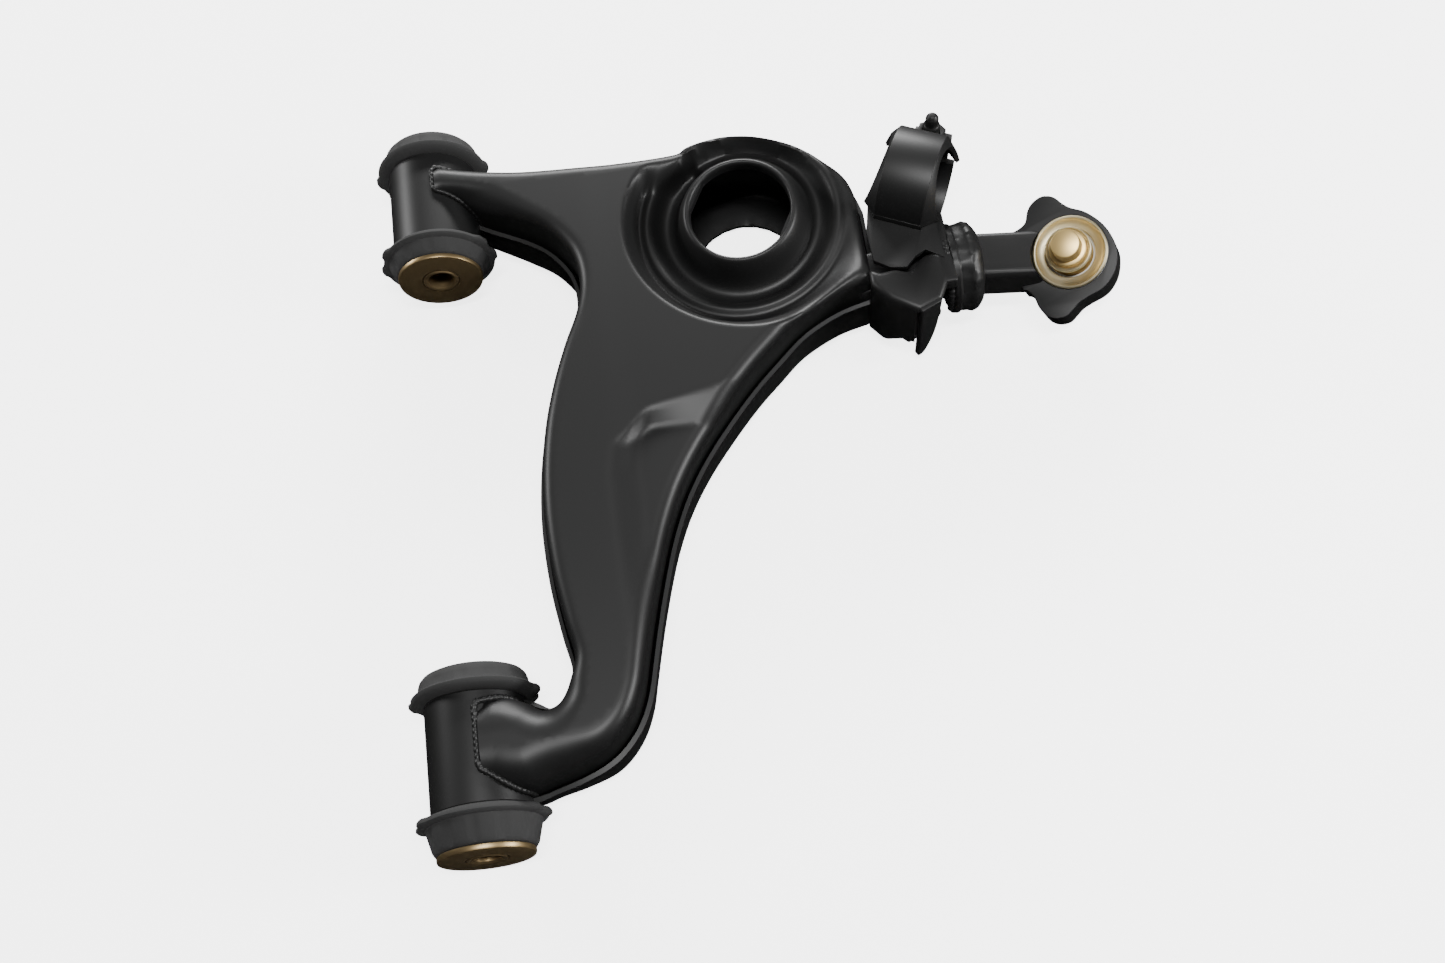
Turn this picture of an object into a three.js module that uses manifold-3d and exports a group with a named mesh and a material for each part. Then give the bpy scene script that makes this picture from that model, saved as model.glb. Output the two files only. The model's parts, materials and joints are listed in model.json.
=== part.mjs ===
// Right-hand front lower control arm: a welded box of two pressed shells that swings on two rubber
// bushes, carries the coil spring on a pressed seat, holds the anti-roll bar in a hooked clamp, and
// ends in a forging with the ball joint. Millimetres, +X outboard, +Y forward, +Z up.
import * as THREE from 'three';
import { mergeVertices } from 'three/addons/utils/BufferGeometryUtils.js';
import Module from 'manifold-3d';

const wasm = await Module();
wasm.setup();

// Driving dimensions. The working origin is the rear face of the front bush, on the pivot axis.
const SHEET = 2.6;                 // pressed steel thickness
const GAP = 0.3;                   // clearance between neighbouring pieces
const FULL = Math.PI * 2;

const TUBE_R = 21.2;               // bush eye tube
const TUBE_WALL = 3.2;
const DISC_R = 20;                 // plated end washer of a bush
const DISC_T = 2.5;
const CUPPED_DISC_R = 17.6;        // the front washers lie inside the rubber's end
const SLEEVE_R = 8.4;
const BORE_R = 6.1;                // clearance hole for the M12 pivot bolt
const LIP_R = 26.2;                // bulge of the rubber outside the tube

const FRONT_BUSH = { y: 0, length: 74, tube: [13.8, 60.2] };
const REAR_BUSH = { y: -275, length: 77.6, tube: [18.4, 64.8] };

const BODY_TOP = TUBE_R + GAP + SHEET;      // the shells lie tangent to the bush tubes
const SEAM_Z = -1;                          // lower edge of the upper shell
const LAP = 4;                              // how far the lower shell reaches above the seam
const FOLD_R = 5;                           // outside radius of the pressed folds

const SEAT = new THREE.Vector3(145, -4, 25);            // centre of the spring neck's rim
const SEAT_UP = new THREE.Vector3(-0.08, -0.13, 0.988).normalize();
const NECK_R = 23.4;                        // hole through the neck
const PAN_R = 52;                           // outer edge of the pressed seat
const LOWER_HOLE_R = 25;

const BAR = new THREE.Vector3(226.3, -1.3, 20);         // middle of the anti-roll bar
const BAR_TURN = THREE.MathUtils.degToRad(-28);         // bar axis against +X
const CRADLE_R = 18.6;                                  // the bar's rubber fits this radius
const STRAP_R = CRADLE_R + SHEET + GAP;
const STRAP_W = 22;
const STRAP_T = 2.5;
const STRAP_REACH = THREE.MathUtils.degToRad(86);       // the arch's half angle
const STRAP_STEPS = 24;
const CLAMP_BOLT = { s: 32, r: 4, top: 10 };          // place along the strap, radius, tip height

const STOP = new THREE.Vector2(216.7, -70.9);           // lock stop tab's corner and direction
const STOP_TURN = Math.atan2(4.8, 10.6);

const FORGING_Y = -38.6;
const ROOT = { x0: 193, x1: 236, width: 22, height: 18 };
const TAIL = { x0: 175, z1: 2, y0: -45, y1: -28.2 };     // the forging's thin inner end, below the seat
const COLLAR = { x0: 235.4, x1: 250, r: 21 };
const NECK = { width: 20.5, height: 20, corner: 4 };

const EYE = new THREE.Vector3(291, -46, 10);            // ball joint plate's rim
const EYE_UP = new THREE.Vector3(-0.329, -0.292, 0.898).normalize();
const EYE_T = 18.5;
const STUD_R = 6.5;
const EYE_BORE_R = 17.3;
const BALL_R = 11;
const BALL_W = -9;                                      // ball centre below the plate's rim

const finish = (color, roughness, metalness) => (name) =>
  new THREE.MeshStandardMaterial({ name, color, roughness, metalness });
const paint = finish(0x0d0e10, 0.2, 0);
const rubber = finish(0x17181a, 0.75, 0);
const zinc = finish(0x6a532c, 0.5, 0.7);
const steel = finish(0x8f9296, 0.35, 1);
const resin = finish(0xd8d4c4, 0.5, 0);

// ---- solids -------------------------------------------------------------------------------------

function solid(geometry) {
  const bare = geometry.clone();
  bare.deleteAttribute('normal');
  bare.deleteAttribute('uv');
  const merged = mergeVertices(bare, 1e-4);
  const p = merged.attributes.position;
  const index = merged.index.array;
  const corner = [new THREE.Vector3(), new THREE.Vector3(), new THREE.Vector3()];
  const kept = [];
  let volume = 0;
  for (let i = 0; i < index.length; i += 3) {
    const [a, b, c] = [index[i], index[i + 1], index[i + 2]];
    if (a === b || b === c || c === a) continue;
    [a, b, c].forEach((v, k) => corner[k].fromBufferAttribute(p, v));
    volume += corner[0].dot(corner[1].clone().cross(corner[2]));
    kept.push(a, b, c);
  }
  if (volume < 0) kept.reverse();
  const vertProperties = new Float32Array(p.array);
  return new wasm.Manifold(new wasm.Mesh({ numProp: 3, vertProperties, triVerts: new Uint32Array(kept) }));
}

function geometryOf(body) {
  const mesh = body.getMesh();
  const geometry = new THREE.BufferGeometry();
  geometry.setAttribute('position', new THREE.BufferAttribute(new Float32Array(mesh.vertProperties), 3));
  geometry.setIndex(new THREE.BufferAttribute(new Uint32Array(mesh.triVerts), 1));
  geometry.computeVertexNormals();
  return geometry;
}

function frame(up, origin) {
  const across = new THREE.Vector3(1, 0, 0).addScaledVector(up, -up.x).normalize();
  const along = new THREE.Vector3().crossVectors(up, across);
  return new THREE.Matrix4().makeBasis(across, along, up).setPosition(origin);
}

// A solid of revolution about +Z from a closed list of [radius, height].
function turned(profile, segments = 32) {
  const points = profile.map(([r, h]) => new THREE.Vector2(r, h));
  if (THREE.ShapeUtils.isClockWise(points)) points.reverse();
  points.push(points[0].clone());
  return new THREE.LatheGeometry(points, segments).rotateX(Math.PI / 2);
}

function disc(radius, z0, z1, segments = 32) {
  return turned([[0, z0], [radius, z0], [radius, z1], [0, z1]], segments);
}

function ring(inner, outer, z0, z1, segments = 32) {
  return turned([[inner, z0], [outer, z0], [outer, z1], [inner, z1]], segments);
}

function block(x0, x1, y0, y1, z0, z1) {
  return new THREE.BoxGeometry(x1 - x0, y1 - y0, z1 - z0)
    .translate((x0 + x1) / 2, (y0 + y1) / 2, (z0 + z1) / 2);
}

function alongY(geometry) {
  return geometry.rotateX(-Math.PI / 2);
}

function alongX(geometry) {
  return geometry.rotateY(Math.PI / 2);
}

function prism(points, z0, z1) {
  return new THREE.ExtrudeGeometry(new THREE.Shape(points), { bevelEnabled: false, steps: 1, depth: z1 - z0 })
    .translate(0, 0, z0);
}

// Skins a row of rings that have the same number of points, and closes its two ends. flat is an
// anticlockwise ring in the plane, which says how the ends are filled.
function loft(rings, flat = rings[Math.floor(rings.length / 2)]) {
  const count = rings[0].length;
  const cap = THREE.ShapeUtils.triangulateShape(flat.slice(), []);
  const top = (rings.length - 1) * count;
  const index = [];
  cap.forEach(([a, b, c]) => index.push(a, c, b, top + a, top + b, top + c));
  for (let level = 0; level < top; level += count) {
    for (let i = 0; i < count; i++) {
      const j = (i + 1) % count;
      index.push(level + i, level + j, level + count + j, level + i, level + count + j, level + count + i);
    }
  }
  const geometry = new THREE.BufferGeometry().setFromPoints(rings.flat());
  return geometry.setIndex(index);
}

// An upright prism with both of its ends rounded over.
function roundedPrism(points, z0, z1, round, steps = 2) {
  const rings = [];
  const anticlockwise = THREE.ShapeUtils.isClockWise(points) ? points.slice().reverse() : points;
  const level = (inset, z) => {
    rings.push(offset(anticlockwise, -inset).map((v) => new THREE.Vector3(v.x, v.y, z)));
  };
  for (let i = 0; i <= steps; i++) {
    const angle = Math.PI / 2 * i / steps;
    level(round * (1 - Math.sin(angle)), z0 + round * (1 - Math.cos(angle)));
  }
  for (let i = steps; i >= 0; i--) {
    const angle = Math.PI / 2 * i / steps;
    level(round * (1 - Math.sin(angle)), z1 - round * (1 - Math.cos(angle)));
  }
  return loft(rings);
}

// Moves a closed outline outwards by a distance, corner by corner.
function offset(points, distance) {
  const turn = Math.sign(THREE.ShapeUtils.area(points));
  return points.map((point, i) => {
    const before = points[(i + points.length - 1) % points.length];
    const after = points[(i + 1) % points.length];
    const a = point.clone().sub(before).normalize();
    const b = after.clone().sub(point).normalize();
    const normal = new THREE.Vector2(a.y + b.y, -(a.x + b.x)).normalize();
    const miter = Math.max(0.5, normal.x * a.y - normal.y * a.x);
    return point.clone().addScaledVector(normal, turn * distance / miter);
  });
}

// ---- pressed shells -----------------------------------------------------------------------------

const xy = (list) => list.map(([x, y]) => new THREE.Vector2(x, y));

function bodyOutline() {
  const shape = new THREE.Shape();
  shape.moveTo(5, 51);
  shape.splineThru(xy([[18, 47], [31, 43.5], [50, 40], [84, 37], [108, 36], [122, 36.5], [132, 39],
    [145, 40], [160, 37], [176, 29], [189, 19], [197, 9], [200, -2]]));
  shape.lineTo(199, -48);
  shape.splineThru(xy([[182, -52], [164, -61], [150, -73], [138, -84], [125, -98], [111, -115],
    [100, -132], [92, -149], [86, -166], [80, -186], [75, -205], [71, -220], [65, -232], [55, -242],
    [42, -247], [24, -249], [5, -249]]));
  shape.lineTo(5, -222);
  shape.splineThru(xy([[24, -222], [36, -219], [43, -212], [46, -203], [43.5, -188], [40.5, -165],
    [39.5, -140], [41, -117], [44.5, -96], [50, -76], [57, -57], [64, -41], [67, -27], [66, -13],
    [61, -2], [53, 8], [42, 16], [28, 24], [14, 33], [5, 36]]));
  return shape.getPoints(2);
}

// The pressed seat's section as [radius, height]: rim, neck, spring groove, ridge and outer wall.
const seatTop = [[NECK_R, -1.6], [24.6, 0], [26.4, -0.9], [28.4, -4.5], [31, -12], [32.6, -15.4], [34.6, -17],
  [37.6, -17], [39.8, -15.2], [43, -10.8], [45.5, -9.6], [48, -11.2], [PAN_R, -3], [PAN_R, 16]];
const seatUnder = [[PAN_R + SHEET, 16], [PAN_R + SHEET, -3.5], [48, -14], [45.5, -12.4], [43.5, -13.4],
  [40, -17.8],
  [36, -19.8], [31.6, -18], [28.6, -13], [25.8, -6.4], [NECK_R, -5.6]];

function tubeCut() {
  const radius = TUBE_R + GAP;
  const front = alongY(disc(radius, -20, 90));
  const rear = alongY(disc(radius, REAR_BUSH.y - 20, REAR_BUSH.y + 90));
  return solid(front).add(solid(rear));
}

function forgingCut() {
  const half = ROOT.width / 2 + GAP;
  const tall = ROOT.height / 2 + GAP;
  return solid(block(185, 215, FORGING_Y - half, FORGING_Y + half, -tall, tall));
}

function hollow(outline, z0, z1, round) {
  const outer = solid(roundedPrism(outline, z0, z1, round));
  const inner = solid(roundedPrism(offset(outline, -SHEET), z0 + SHEET, z1 - SHEET, round - SHEET / 2));
  return { outer, shell: outer.subtract(inner) };
}

function upperShell(outline) {
  const seat = frame(SEAT_UP, SEAT);
  const { outer, shell } = hollow(outline, SEAM_Z - 30, BODY_TOP, FOLD_R);
  const air = [[0, 60], [0, -15], [NECK_R, -15], ...seatTop.slice(0, -1), [PAN_R, 60]];
  const pan = solid(turned([...seatTop, ...seatUnder], 48).applyMatrix4(seat));
  const neck = solid(disc(36, -40, 40, 48).applyMatrix4(seat));
  const stop = solid(block(-42, -29, 16, 19, -19, -8).applyMatrix4(seat));
  return shell.subtract(solid(turned(air, 48).applyMatrix4(seat)))
    .add(pan.intersect(neck.add(outer)))
    .add(stop.intersect(outer))
    .intersect(solid(block(-40, 320, -300, 100, SEAM_Z, 60)))
    .subtract(tubeCut()).subtract(forgingCut());
}

function lowerShell(outline) {
  const outside = offset(outline, SHEET + GAP);
  const { shell } = hollow(outside, -BODY_TOP, 30, FOLD_R);
  const hole = disc(LOWER_HOLE_R, -40, 0, 48).translate(SEAT.x + 1, SEAT.y - 2, 0);
  return shell.intersect(solid(block(-40, 320, -300, 100, -60, SEAM_Z + LAP)))
    .subtract(solid(hole)).subtract(tubeCut()).subtract(forgingCut());
}

// ---- bushes -------------------------------------------------------------------------------------

function eyeTube([y0, y1]) {
  return alongY(ring(TUBE_R - TUBE_WALL, TUBE_R, y0, y1));
}

// One moulded half from its end washer to the middle of the tube; depth is counted from the washer.
// A cupped half reaches forward round its washer.
function bushRubber(flange, reach, cupped) {
  const bore = SLEEVE_R + GAP;
  const plug = TUBE_R - TUBE_WALL - GAP;
  const rim = CUPPED_DISC_R + GAP;
  const cup = [[rim, 0], [rim, -DISC_T - GAP], [21.4, -DISC_T - GAP], [22.6, -0.6]];
  const end = cupped ? cup : [[20.4, 0], [22.6, 3.4]];
  return alongY(turned([[bore, 0], ...end, [LIP_R, flange - 5.6], [LIP_R, flange - 2.4], [24, flange - 1],
    [23.2, flange], [plug, flange], [plug, reach], [bore, reach]]));
}

function endWasher(radius) {
  return alongY(turned([[SLEEVE_R + GAP, 0], [radius - 0.6, 0], [radius, 0.6], [radius, DISC_T],
    [SLEEVE_R + GAP, DISC_T]]));
}

function addBush(arm, name, { y, length, tube }) {
  const bush = new THREE.Group();
  bush.position.y = y;
  const [t0, t1] = tube;
  const inset = DISC_T + 2 * GAP;
  const middle = (t0 + t1) / 2;
  add(bush, `${name}_eye_tube`, eyeTube(tube), paint('arm_paint'));
  add(bush, `${name}_inner_sleeve`, alongY(ring(BORE_R, SLEEVE_R, 0, length)), zinc('plated_zinc'));
  const ends = [['rear', 0, t0, 1], ['front', length, t1, -1]];
  for (const [end, face, edge, way] of ends) {
    const cupped = way < 0;
    const flange = Math.abs(edge - face) - inset - GAP;
    const half = bushRubber(flange, Math.abs(middle - face) - inset - 0.5, cupped);
    const washer = endWasher(cupped ? CUPPED_DISC_R : DISC_R);
    if (cupped) {
      half.rotateX(Math.PI);
      washer.rotateX(Math.PI);
    }
    add(bush, `${name}_rubber_${end}`, half.translate(0, face + way * inset, 0), rubber('bush_rubber'));
    add(bush, `${name}_washer_${end}`, washer.translate(0, face + way * GAP, 0), zinc('plated_zinc'));
  }
  arm.add(bush);
}

// ---- bracket and bar clamp ----------------------------------------------------------------------

function barFrame() {
  return new THREE.Matrix4().makeRotationZ(BAR_TURN).setPosition(BAR);
}

function barBracket() {
  const place = barFrame();
  const plate = prism(xy([[204, -9], [200.6, -24], [201, -40], [208, -45], [215, -46], [220, -41],
    [225, -38.5], [232.6, -44], [232.6, -26], [236, -24], [215, -6]]), 17.4, 20);
  const half = STRAP_W / 2 + 4;
  const cradle = alongX(ring(CRADLE_R, CRADLE_R + SHEET, -half, half, 48)).applyMatrix4(place);
  const below = block(-40, 40, -24, 40, -40, -4).applyMatrix4(place);
  const rearLeg = block(-half, half, -40, -8, -10, 0).applyMatrix4(place);
  const ear = prism(xy([[-11, 11], [11, 11], [9, 40], [-9, 40]]), -16.4, -13.8).applyMatrix4(place);
  const slot = block(-STRAP_W / 2 - GAP, STRAP_W / 2 + GAP, -STRAP_R - STRAP_T - GAP, -STRAP_R + GAP, -8, 8)
    .applyMatrix4(place);
  const room = alongX(disc(CRADLE_R, -60, 60, 48)).applyMatrix4(place);
  const hole = disc(CLAMP_BOLT.r + GAP, -30, 30, 24).translate(0, CLAMP_BOLT.s, 0).applyMatrix4(place);
  return solid(plate)
    .add(solid(cradle).intersect(solid(below).add(solid(rearLeg))))
    .add(solid(ear)).subtract(solid(room)).subtract(solid(slot)).subtract(solid(hole));
}

// The strap's arch: a band whose two side flanges spread and deepen from its crest to its feet.
function strapArch() {
  const out = STRAP_R + STRAP_T;
  const half = STRAP_W / 2;
  const section = (spread) => {
    const wide = half + 1.5 + 6 * spread;
    const low = out - 2.5 - 4.5 * spread;
    return xy([[-wide, low], [1.2 - wide, low - 1.8], [1.2 - half, STRAP_R], [half - 1.2, STRAP_R],
      [wide - 1.2, low - 1.8], [wide, low], [half, out], [-half, out]]);
  };
  const rings = [];
  for (let i = 0; i <= STRAP_STEPS; i++) {
    const angle = STRAP_REACH * (2 * i / STRAP_STEPS - 1);
    const spread = (2 * Math.abs(angle) / Math.PI) ** 1.6;
    rings.push(section(spread)
      .map(({ x, y }) => new THREE.Vector3(x, y * Math.sin(angle), y * Math.cos(angle))));
  }
  return loft(rings, section(1));
}

function clampStrap() {
  const half = STRAP_W / 2;
  const out = STRAP_R + STRAP_T;
  const rearLeg = block(-half, half, -out, -STRAP_R, -10, 2.5);
  const hook = block(-half + 3, half - 3, -out - 5, -STRAP_R, -10, -7.6);
  const frontLeg = block(-half, half, STRAP_R, out, -13.5, 2.5);
  const ear = prism(xy([[-half, STRAP_R], [half, STRAP_R], [9, 40], [-9, 40]]), -13.5, -11);
  const hole = disc(CLAMP_BOLT.r + GAP, -30, 30, 24).translate(0, CLAMP_BOLT.s, 0);
  return solid(strapArch()).add(solid(rearLeg)).add(solid(hook)).add(solid(frontLeg)).add(solid(ear))
    .subtract(solid(hole));
}

function clampBolt() {
  const { r, top } = CLAMP_BOLT;
  const head = solid(new THREE.CylinderGeometry(7.5, 7.5, 5.3, 6).rotateX(Math.PI / 2)
    .translate(0, 0, -19.35));
  const shank = solid(turned([[0, -18], [r, -18], [r, top - 7], [3.1, top - 6], [3.1, top - 2],
    [1.6, top], [0, top]], 24));
  return head.add(shank);
}

function clampNut() {
  const hex = solid(new THREE.CylinderGeometry(7.5, 7.5, 6.5, 6).rotateX(Math.PI / 2).translate(0, 0, -5.6));
  return hex.subtract(solid(disc(CLAMP_BOLT.r + GAP, -20, 20, 24)));
}

function addClamp(arm) {
  const clamp = new THREE.Group();
  clamp.applyMatrix4(barFrame());
  add(clamp, 'bar_clamp_strap', geometryOf(clampStrap()), paint('arm_paint'));
  const bolt = new THREE.Group();
  bolt.position.y = CLAMP_BOLT.s;
  add(bolt, 'clamp_bolt', geometryOf(clampBolt()), paint('arm_paint'));
  add(bolt, 'clamp_nut', geometryOf(clampNut()), paint('arm_paint'));
  add(bolt, 'clamp_washer', ring(CLAMP_BOLT.r + GAP, 7.2, -10.7, -9.2, 24), paint('arm_paint'));
  clamp.add(bolt);
  arm.add(clamp);
  add(arm, 'bar_bracket', geometryOf(barBracket()), paint('arm_paint'));
}

// Folded plate behind the bracket: its flat part runs under the bracket, its wall closes the rear and
// is cut short towards the stop tab.
function rearGusset() {
  const top = prism(xy([[203.4, -36], [203.4, -56.6], [216.2, -69.7], [218.8, -67], [232.6, -60.6],
    [232.6, -36]]), 14.5, 17.1);
  const wall = prism(xy([[203.4, -57.3], [216.4, -70.6], [218, -68.9], [205.2, -55.8]]), -20, 17.1);
  const short = prism(xy([[-2, -21], [22, -21], [22, -9], [9, -16]]), -6, 6).rotateX(Math.PI / 2)
    .rotateZ(-0.7965).translate(203.4, -57.3, 0);
  const slot = block(0.5, 13, -1, 3.1, -21, 21).rotateZ(STOP_TURN).translate(STOP.x, STOP.y, 0);
  return solid(top).add(solid(wall)).subtract(solid(short)).subtract(solid(slot));
}

function lowerGusset() {
  return prism(xy([[205.6, -10], [205.6, -54], [214.4, -63], [226, -58], [232.6, -50],
    [232.6, -20], [220, -8]]), -20, -17.4);
}

// Upright tab that meets the lock stop on the knuckle, drawn in its own plane from its inner top corner.
function stopTab() {
  const shape = new THREE.Shape(xy([[0.6, 17], [0.6, 20], [11.6, 20], [10.6, 4]]));
  shape.quadraticCurveTo(9.6, -8, 6, -16);
  shape.quadraticCurveTo(3.6, -22, 0.6, -20);
  return new THREE.ExtrudeGeometry(shape, { depth: 3, bevelEnabled: false, curveSegments: 5 })
    .rotateX(Math.PI / 2).translate(0, 3, 0).rotateZ(STOP_TURN).translate(STOP.x, STOP.y, 0);
}

// ---- outer forging and ball joint ---------------------------------------------------------------

function eyeOutline() {
  const shape = new THREE.Shape();
  shape.moveTo(-24, 15.5);
  shape.splineThru(xy([[-20, 16.8], [-17.2, 19], [-15.6, 23.4], [-12.8, 26.8], [-8.5, 28.8], [-4.9, 28.4],
    [-1.9, 26.6], [0.8, 23.2], [4, 20.4], [9.6, 17.2], [14.9, 11.9], [18.4, 6.1], [20.5, -1.1], [20.2, -6.6],
    [18.2, -12.6], [14.7, -17.3], [10.6, -20.2], [4.3, -22.2], [-0.2, -24], [-3.4, -26.4], [-7.1, -28.8],
    [-11.7, -28.8], [-15.5, -26.6], [-18.3, -22], [-19.6, -16.9], [-21.8, -13.2], [-24, -12.2]]));
  return shape.getPoints(2);
}

function outerForging() {
  const eye = frame(EYE_UP, EYE);
  const { x0, x1, width, height } = ROOT;
  const half = width / 2;
  const root = block(x0, x1, FORGING_Y - half, FORGING_Y + half, -height / 2, height / 2);
  const collar = alongX(turned([[0, COLLAR.x0], [COLLAR.r, COLLAR.x0], [COLLAR.r, COLLAR.x1 - 5],
    [COLLAR.r - 5, COLLAR.x1], [0, COLLAR.x1]], 32)).translate(0, FORGING_Y, 0);
  const { width: w, height: h, corner } = NECK;
  const section = new THREE.Shape();
  for (const [turn, sx, sy] of [[0, 1, 1], [1, -1, 1], [2, -1, -1], [3, 1, -1]]) {
    const start = turn * Math.PI / 2;
    section.absarc(sx * (w / 2 - corner), sy * (h / 2 - corner), corner, start, start + Math.PI / 2);
  }
  const path = new THREE.LineCurve3(new THREE.Vector3(240, -37.5, 0), new THREE.Vector3(280, -43, 1));
  const neck = new THREE.ExtrudeGeometry(section, { steps: 1, extrudePath: path, curveSegments: 3 });
  const lug = roundedPrism(eyeOutline(), -1.3 - EYE_T, -1.3, 1.6, 2).applyMatrix4(eye);
  const bore = disc(EYE_BORE_R, -60, 40, 48).applyMatrix4(eye);
  const tail = block(TAIL.x0, x0 + 5, TAIL.y0, TAIL.y1, -height / 2, TAIL.z1);
  return solid(root).add(solid(tail)).add(solid(collar)).add(solid(neck)).add(solid(lug))
    .subtract(solid(bore));
}

const sphereArc = (radius, from, to, steps) => Array.from({ length: steps + 1 }, (_, i) => {
  const angle = THREE.MathUtils.degToRad(from + (to - from) * i / steps);
  return [radius * Math.cos(angle), BALL_W + radius * Math.sin(angle)];
});

function ballHousing() {
  return turned([[17, -3.6], [17, -20.2], [19.6, -20.2], [19.6, -24.4], [16, -24.4], [16, -21.6],
    [13.9, -21.6],
    ...sphereArc(13.9, 0, 22, 3), [12.9, -3.6]]);
}

function bearingShell() {
  return turned([...sphereArc(13.6, 0, 18, 2), ...sphereArc(BALL_R + GAP, 24, -24, 5), [13.6, BALL_W - 6]]);
}

function lowerSeat() {
  return turned([...sphereArc(BALL_R + GAP, -72, -38, 4), ...sphereArc(13, -38, -72, 4)]);
}

function bootPlate() {
  return turned([[11.4, -3.3], [14.6, -3.3], [16.9, -1.8], [17, -0.8], [16.5, -0.1], [15.7, 0], [15, -0.6],
    [14.2, -1.7], [11.4, -2.3]]);
}

function studCollar() {
  return turned([[8.7, 3.4], [10.4, 3.4], [10.4, 5.6], [10, 6], [9.5, 6], [9.2, 5.2], [8.7, 5.2]]);
}

function ballStud() {
  return turned([[0, BALL_W - BALL_R], ...sphereArc(BALL_R, -75, 40, 7), [8.4, 9], [STUD_R, 9.6],
    [STUD_R, 17.6], [STUD_R - 0.4, 18], [0, 18]]);
}

function addBallJoint(arm) {
  const joint = new THREE.Group();
  joint.applyMatrix4(frame(EYE_UP, EYE));
  add(joint, 'ball_joint_housing', ballHousing(), steel('bare_steel'));
  add(joint, 'bearing_shell', bearingShell(), resin('bearing_resin'));
  add(joint, 'lower_seat', lowerSeat(), resin('bearing_resin'));
  add(joint, 'end_cover', disc(15.7, -24.3, -22.3), steel('bare_steel'));
  add(joint, 'boot_plate', bootPlate(), zinc('yellow_chromate'));
  add(joint, 'stud_collar', studCollar(), zinc('yellow_chromate'));
  add(joint, 'ball_stud', ballStud(), zinc('turned_stud'));
  arm.add(joint);
}

// ---- assembly -----------------------------------------------------------------------------------

function add(parent, name, geometry, material) {
  const mesh = new THREE.Mesh(geometry, material);
  mesh.name = name;
  parent.add(mesh);
}

function controlArm() {
  const arm = new THREE.Group();
  const outline = bodyOutline();
  add(arm, 'upper_shell', geometryOf(upperShell(outline)), paint('arm_paint'));
  add(arm, 'lower_shell', geometryOf(lowerShell(outline)), paint('arm_paint'));
  add(arm, 'outer_forging', geometryOf(outerForging()), paint('arm_paint'));
  add(arm, 'rear_gusset', geometryOf(rearGusset()), paint('arm_paint'));
  add(arm, 'lower_gusset', lowerGusset(), paint('arm_paint'));
  add(arm, 'stop_tab', stopTab(), paint('arm_paint'));
  addBush(arm, 'front', FRONT_BUSH);
  addBush(arm, 'rear', REAR_BUSH);
  addClamp(arm);
  addBallJoint(arm);
  return arm;
}

// The part's origin is the middle of the bottom of its box, so it lies on Z = 0.
const model = new THREE.Group();
const arm = controlArm();
model.add(arm);
model.updateMatrixWorld(true);
const box = new THREE.Box3().setFromObject(model, true);
const middle = box.getCenter(new THREE.Vector3());
arm.position.set(-middle.x, -middle.y, -box.min.z);

export default model;
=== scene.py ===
"""Finished model of a lower control arm: pressed shells, rubber bushes, bar clamp, forging, ball joint."""
import json
import math

import bmesh
import bpy
import numpy as np
from mathutils import Matrix, Vector
from mathutils.geometry import delaunay_2d_cdt


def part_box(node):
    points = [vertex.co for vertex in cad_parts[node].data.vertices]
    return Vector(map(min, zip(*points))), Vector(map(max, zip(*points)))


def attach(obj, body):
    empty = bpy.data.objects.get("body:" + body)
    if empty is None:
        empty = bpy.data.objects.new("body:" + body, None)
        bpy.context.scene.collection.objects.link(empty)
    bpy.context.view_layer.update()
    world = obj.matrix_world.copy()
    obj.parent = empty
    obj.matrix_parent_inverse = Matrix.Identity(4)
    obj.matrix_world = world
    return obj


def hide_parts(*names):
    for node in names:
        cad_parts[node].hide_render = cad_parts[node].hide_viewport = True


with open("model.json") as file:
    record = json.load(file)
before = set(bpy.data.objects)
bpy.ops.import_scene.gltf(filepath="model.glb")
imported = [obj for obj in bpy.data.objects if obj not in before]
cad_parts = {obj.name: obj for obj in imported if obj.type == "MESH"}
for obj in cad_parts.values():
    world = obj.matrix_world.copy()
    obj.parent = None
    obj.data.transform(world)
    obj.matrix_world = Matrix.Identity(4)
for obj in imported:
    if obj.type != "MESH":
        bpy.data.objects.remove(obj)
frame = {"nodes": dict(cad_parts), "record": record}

bl_info = {
    "name": "Control Arm",
    "version": (1, 0, 0),
    "blender": (4, 5, 0),
    "location": "View3D > Sidebar > Control Arm",
    "description": "Models a welded lower control arm piece by piece around its fixed frame",
    "category": "Add Mesh",
}

# Everything is drawn in millimetres from the rear face of the front bush, on the pivot axis, and is
# brought to metres in the frame by settle().
MM = 0.001
SLEEVE_LOW, SLEEVE_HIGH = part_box("front_inner_sleeve")
ORIGIN = Vector(((SLEEVE_LOW.x + SLEEVE_HIGH.x) / 2, SLEEVE_LOW.y, (SLEEVE_LOW.z + SLEEVE_HIGH.z) / 2))
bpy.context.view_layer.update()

FRONT_EDGE = [(5, 51), (18, 47), (31, 43.5), (50, 40), (84, 37), (108, 36), (122, 36.5), (132, 39),
              (145, 40), (160, 37), (176, 29), (189, 19), (197, 9), (200, -2)]
OUTER_EDGE = [(199, -48), (182, -52), (164, -61), (150, -73), (138, -84), (125, -98), (111, -115),
              (100, -132), (92, -149), (86, -166), (80, -186), (75, -205), (71, -220), (65, -232),
              (55, -242), (42, -247.5), (30, -250.5), (22, -252.5), (13, -251.5), (5, -249)]
INNER_EDGE = [(5, -213.5), (16, -214.5), (24, -217.5), (31, -221.5), (38, -219), (43, -212), (46, -203),
              (43.5, -188), (40.5, -165),
              (39.5, -140), (41, -117), (44.5, -96), (50, -76), (57, -57), (64, -41), (67, -27),
              (66, -13), (61, -2), (53, 8), (42, 16), (28, 24), (14, 33), (5, 36)]

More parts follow.
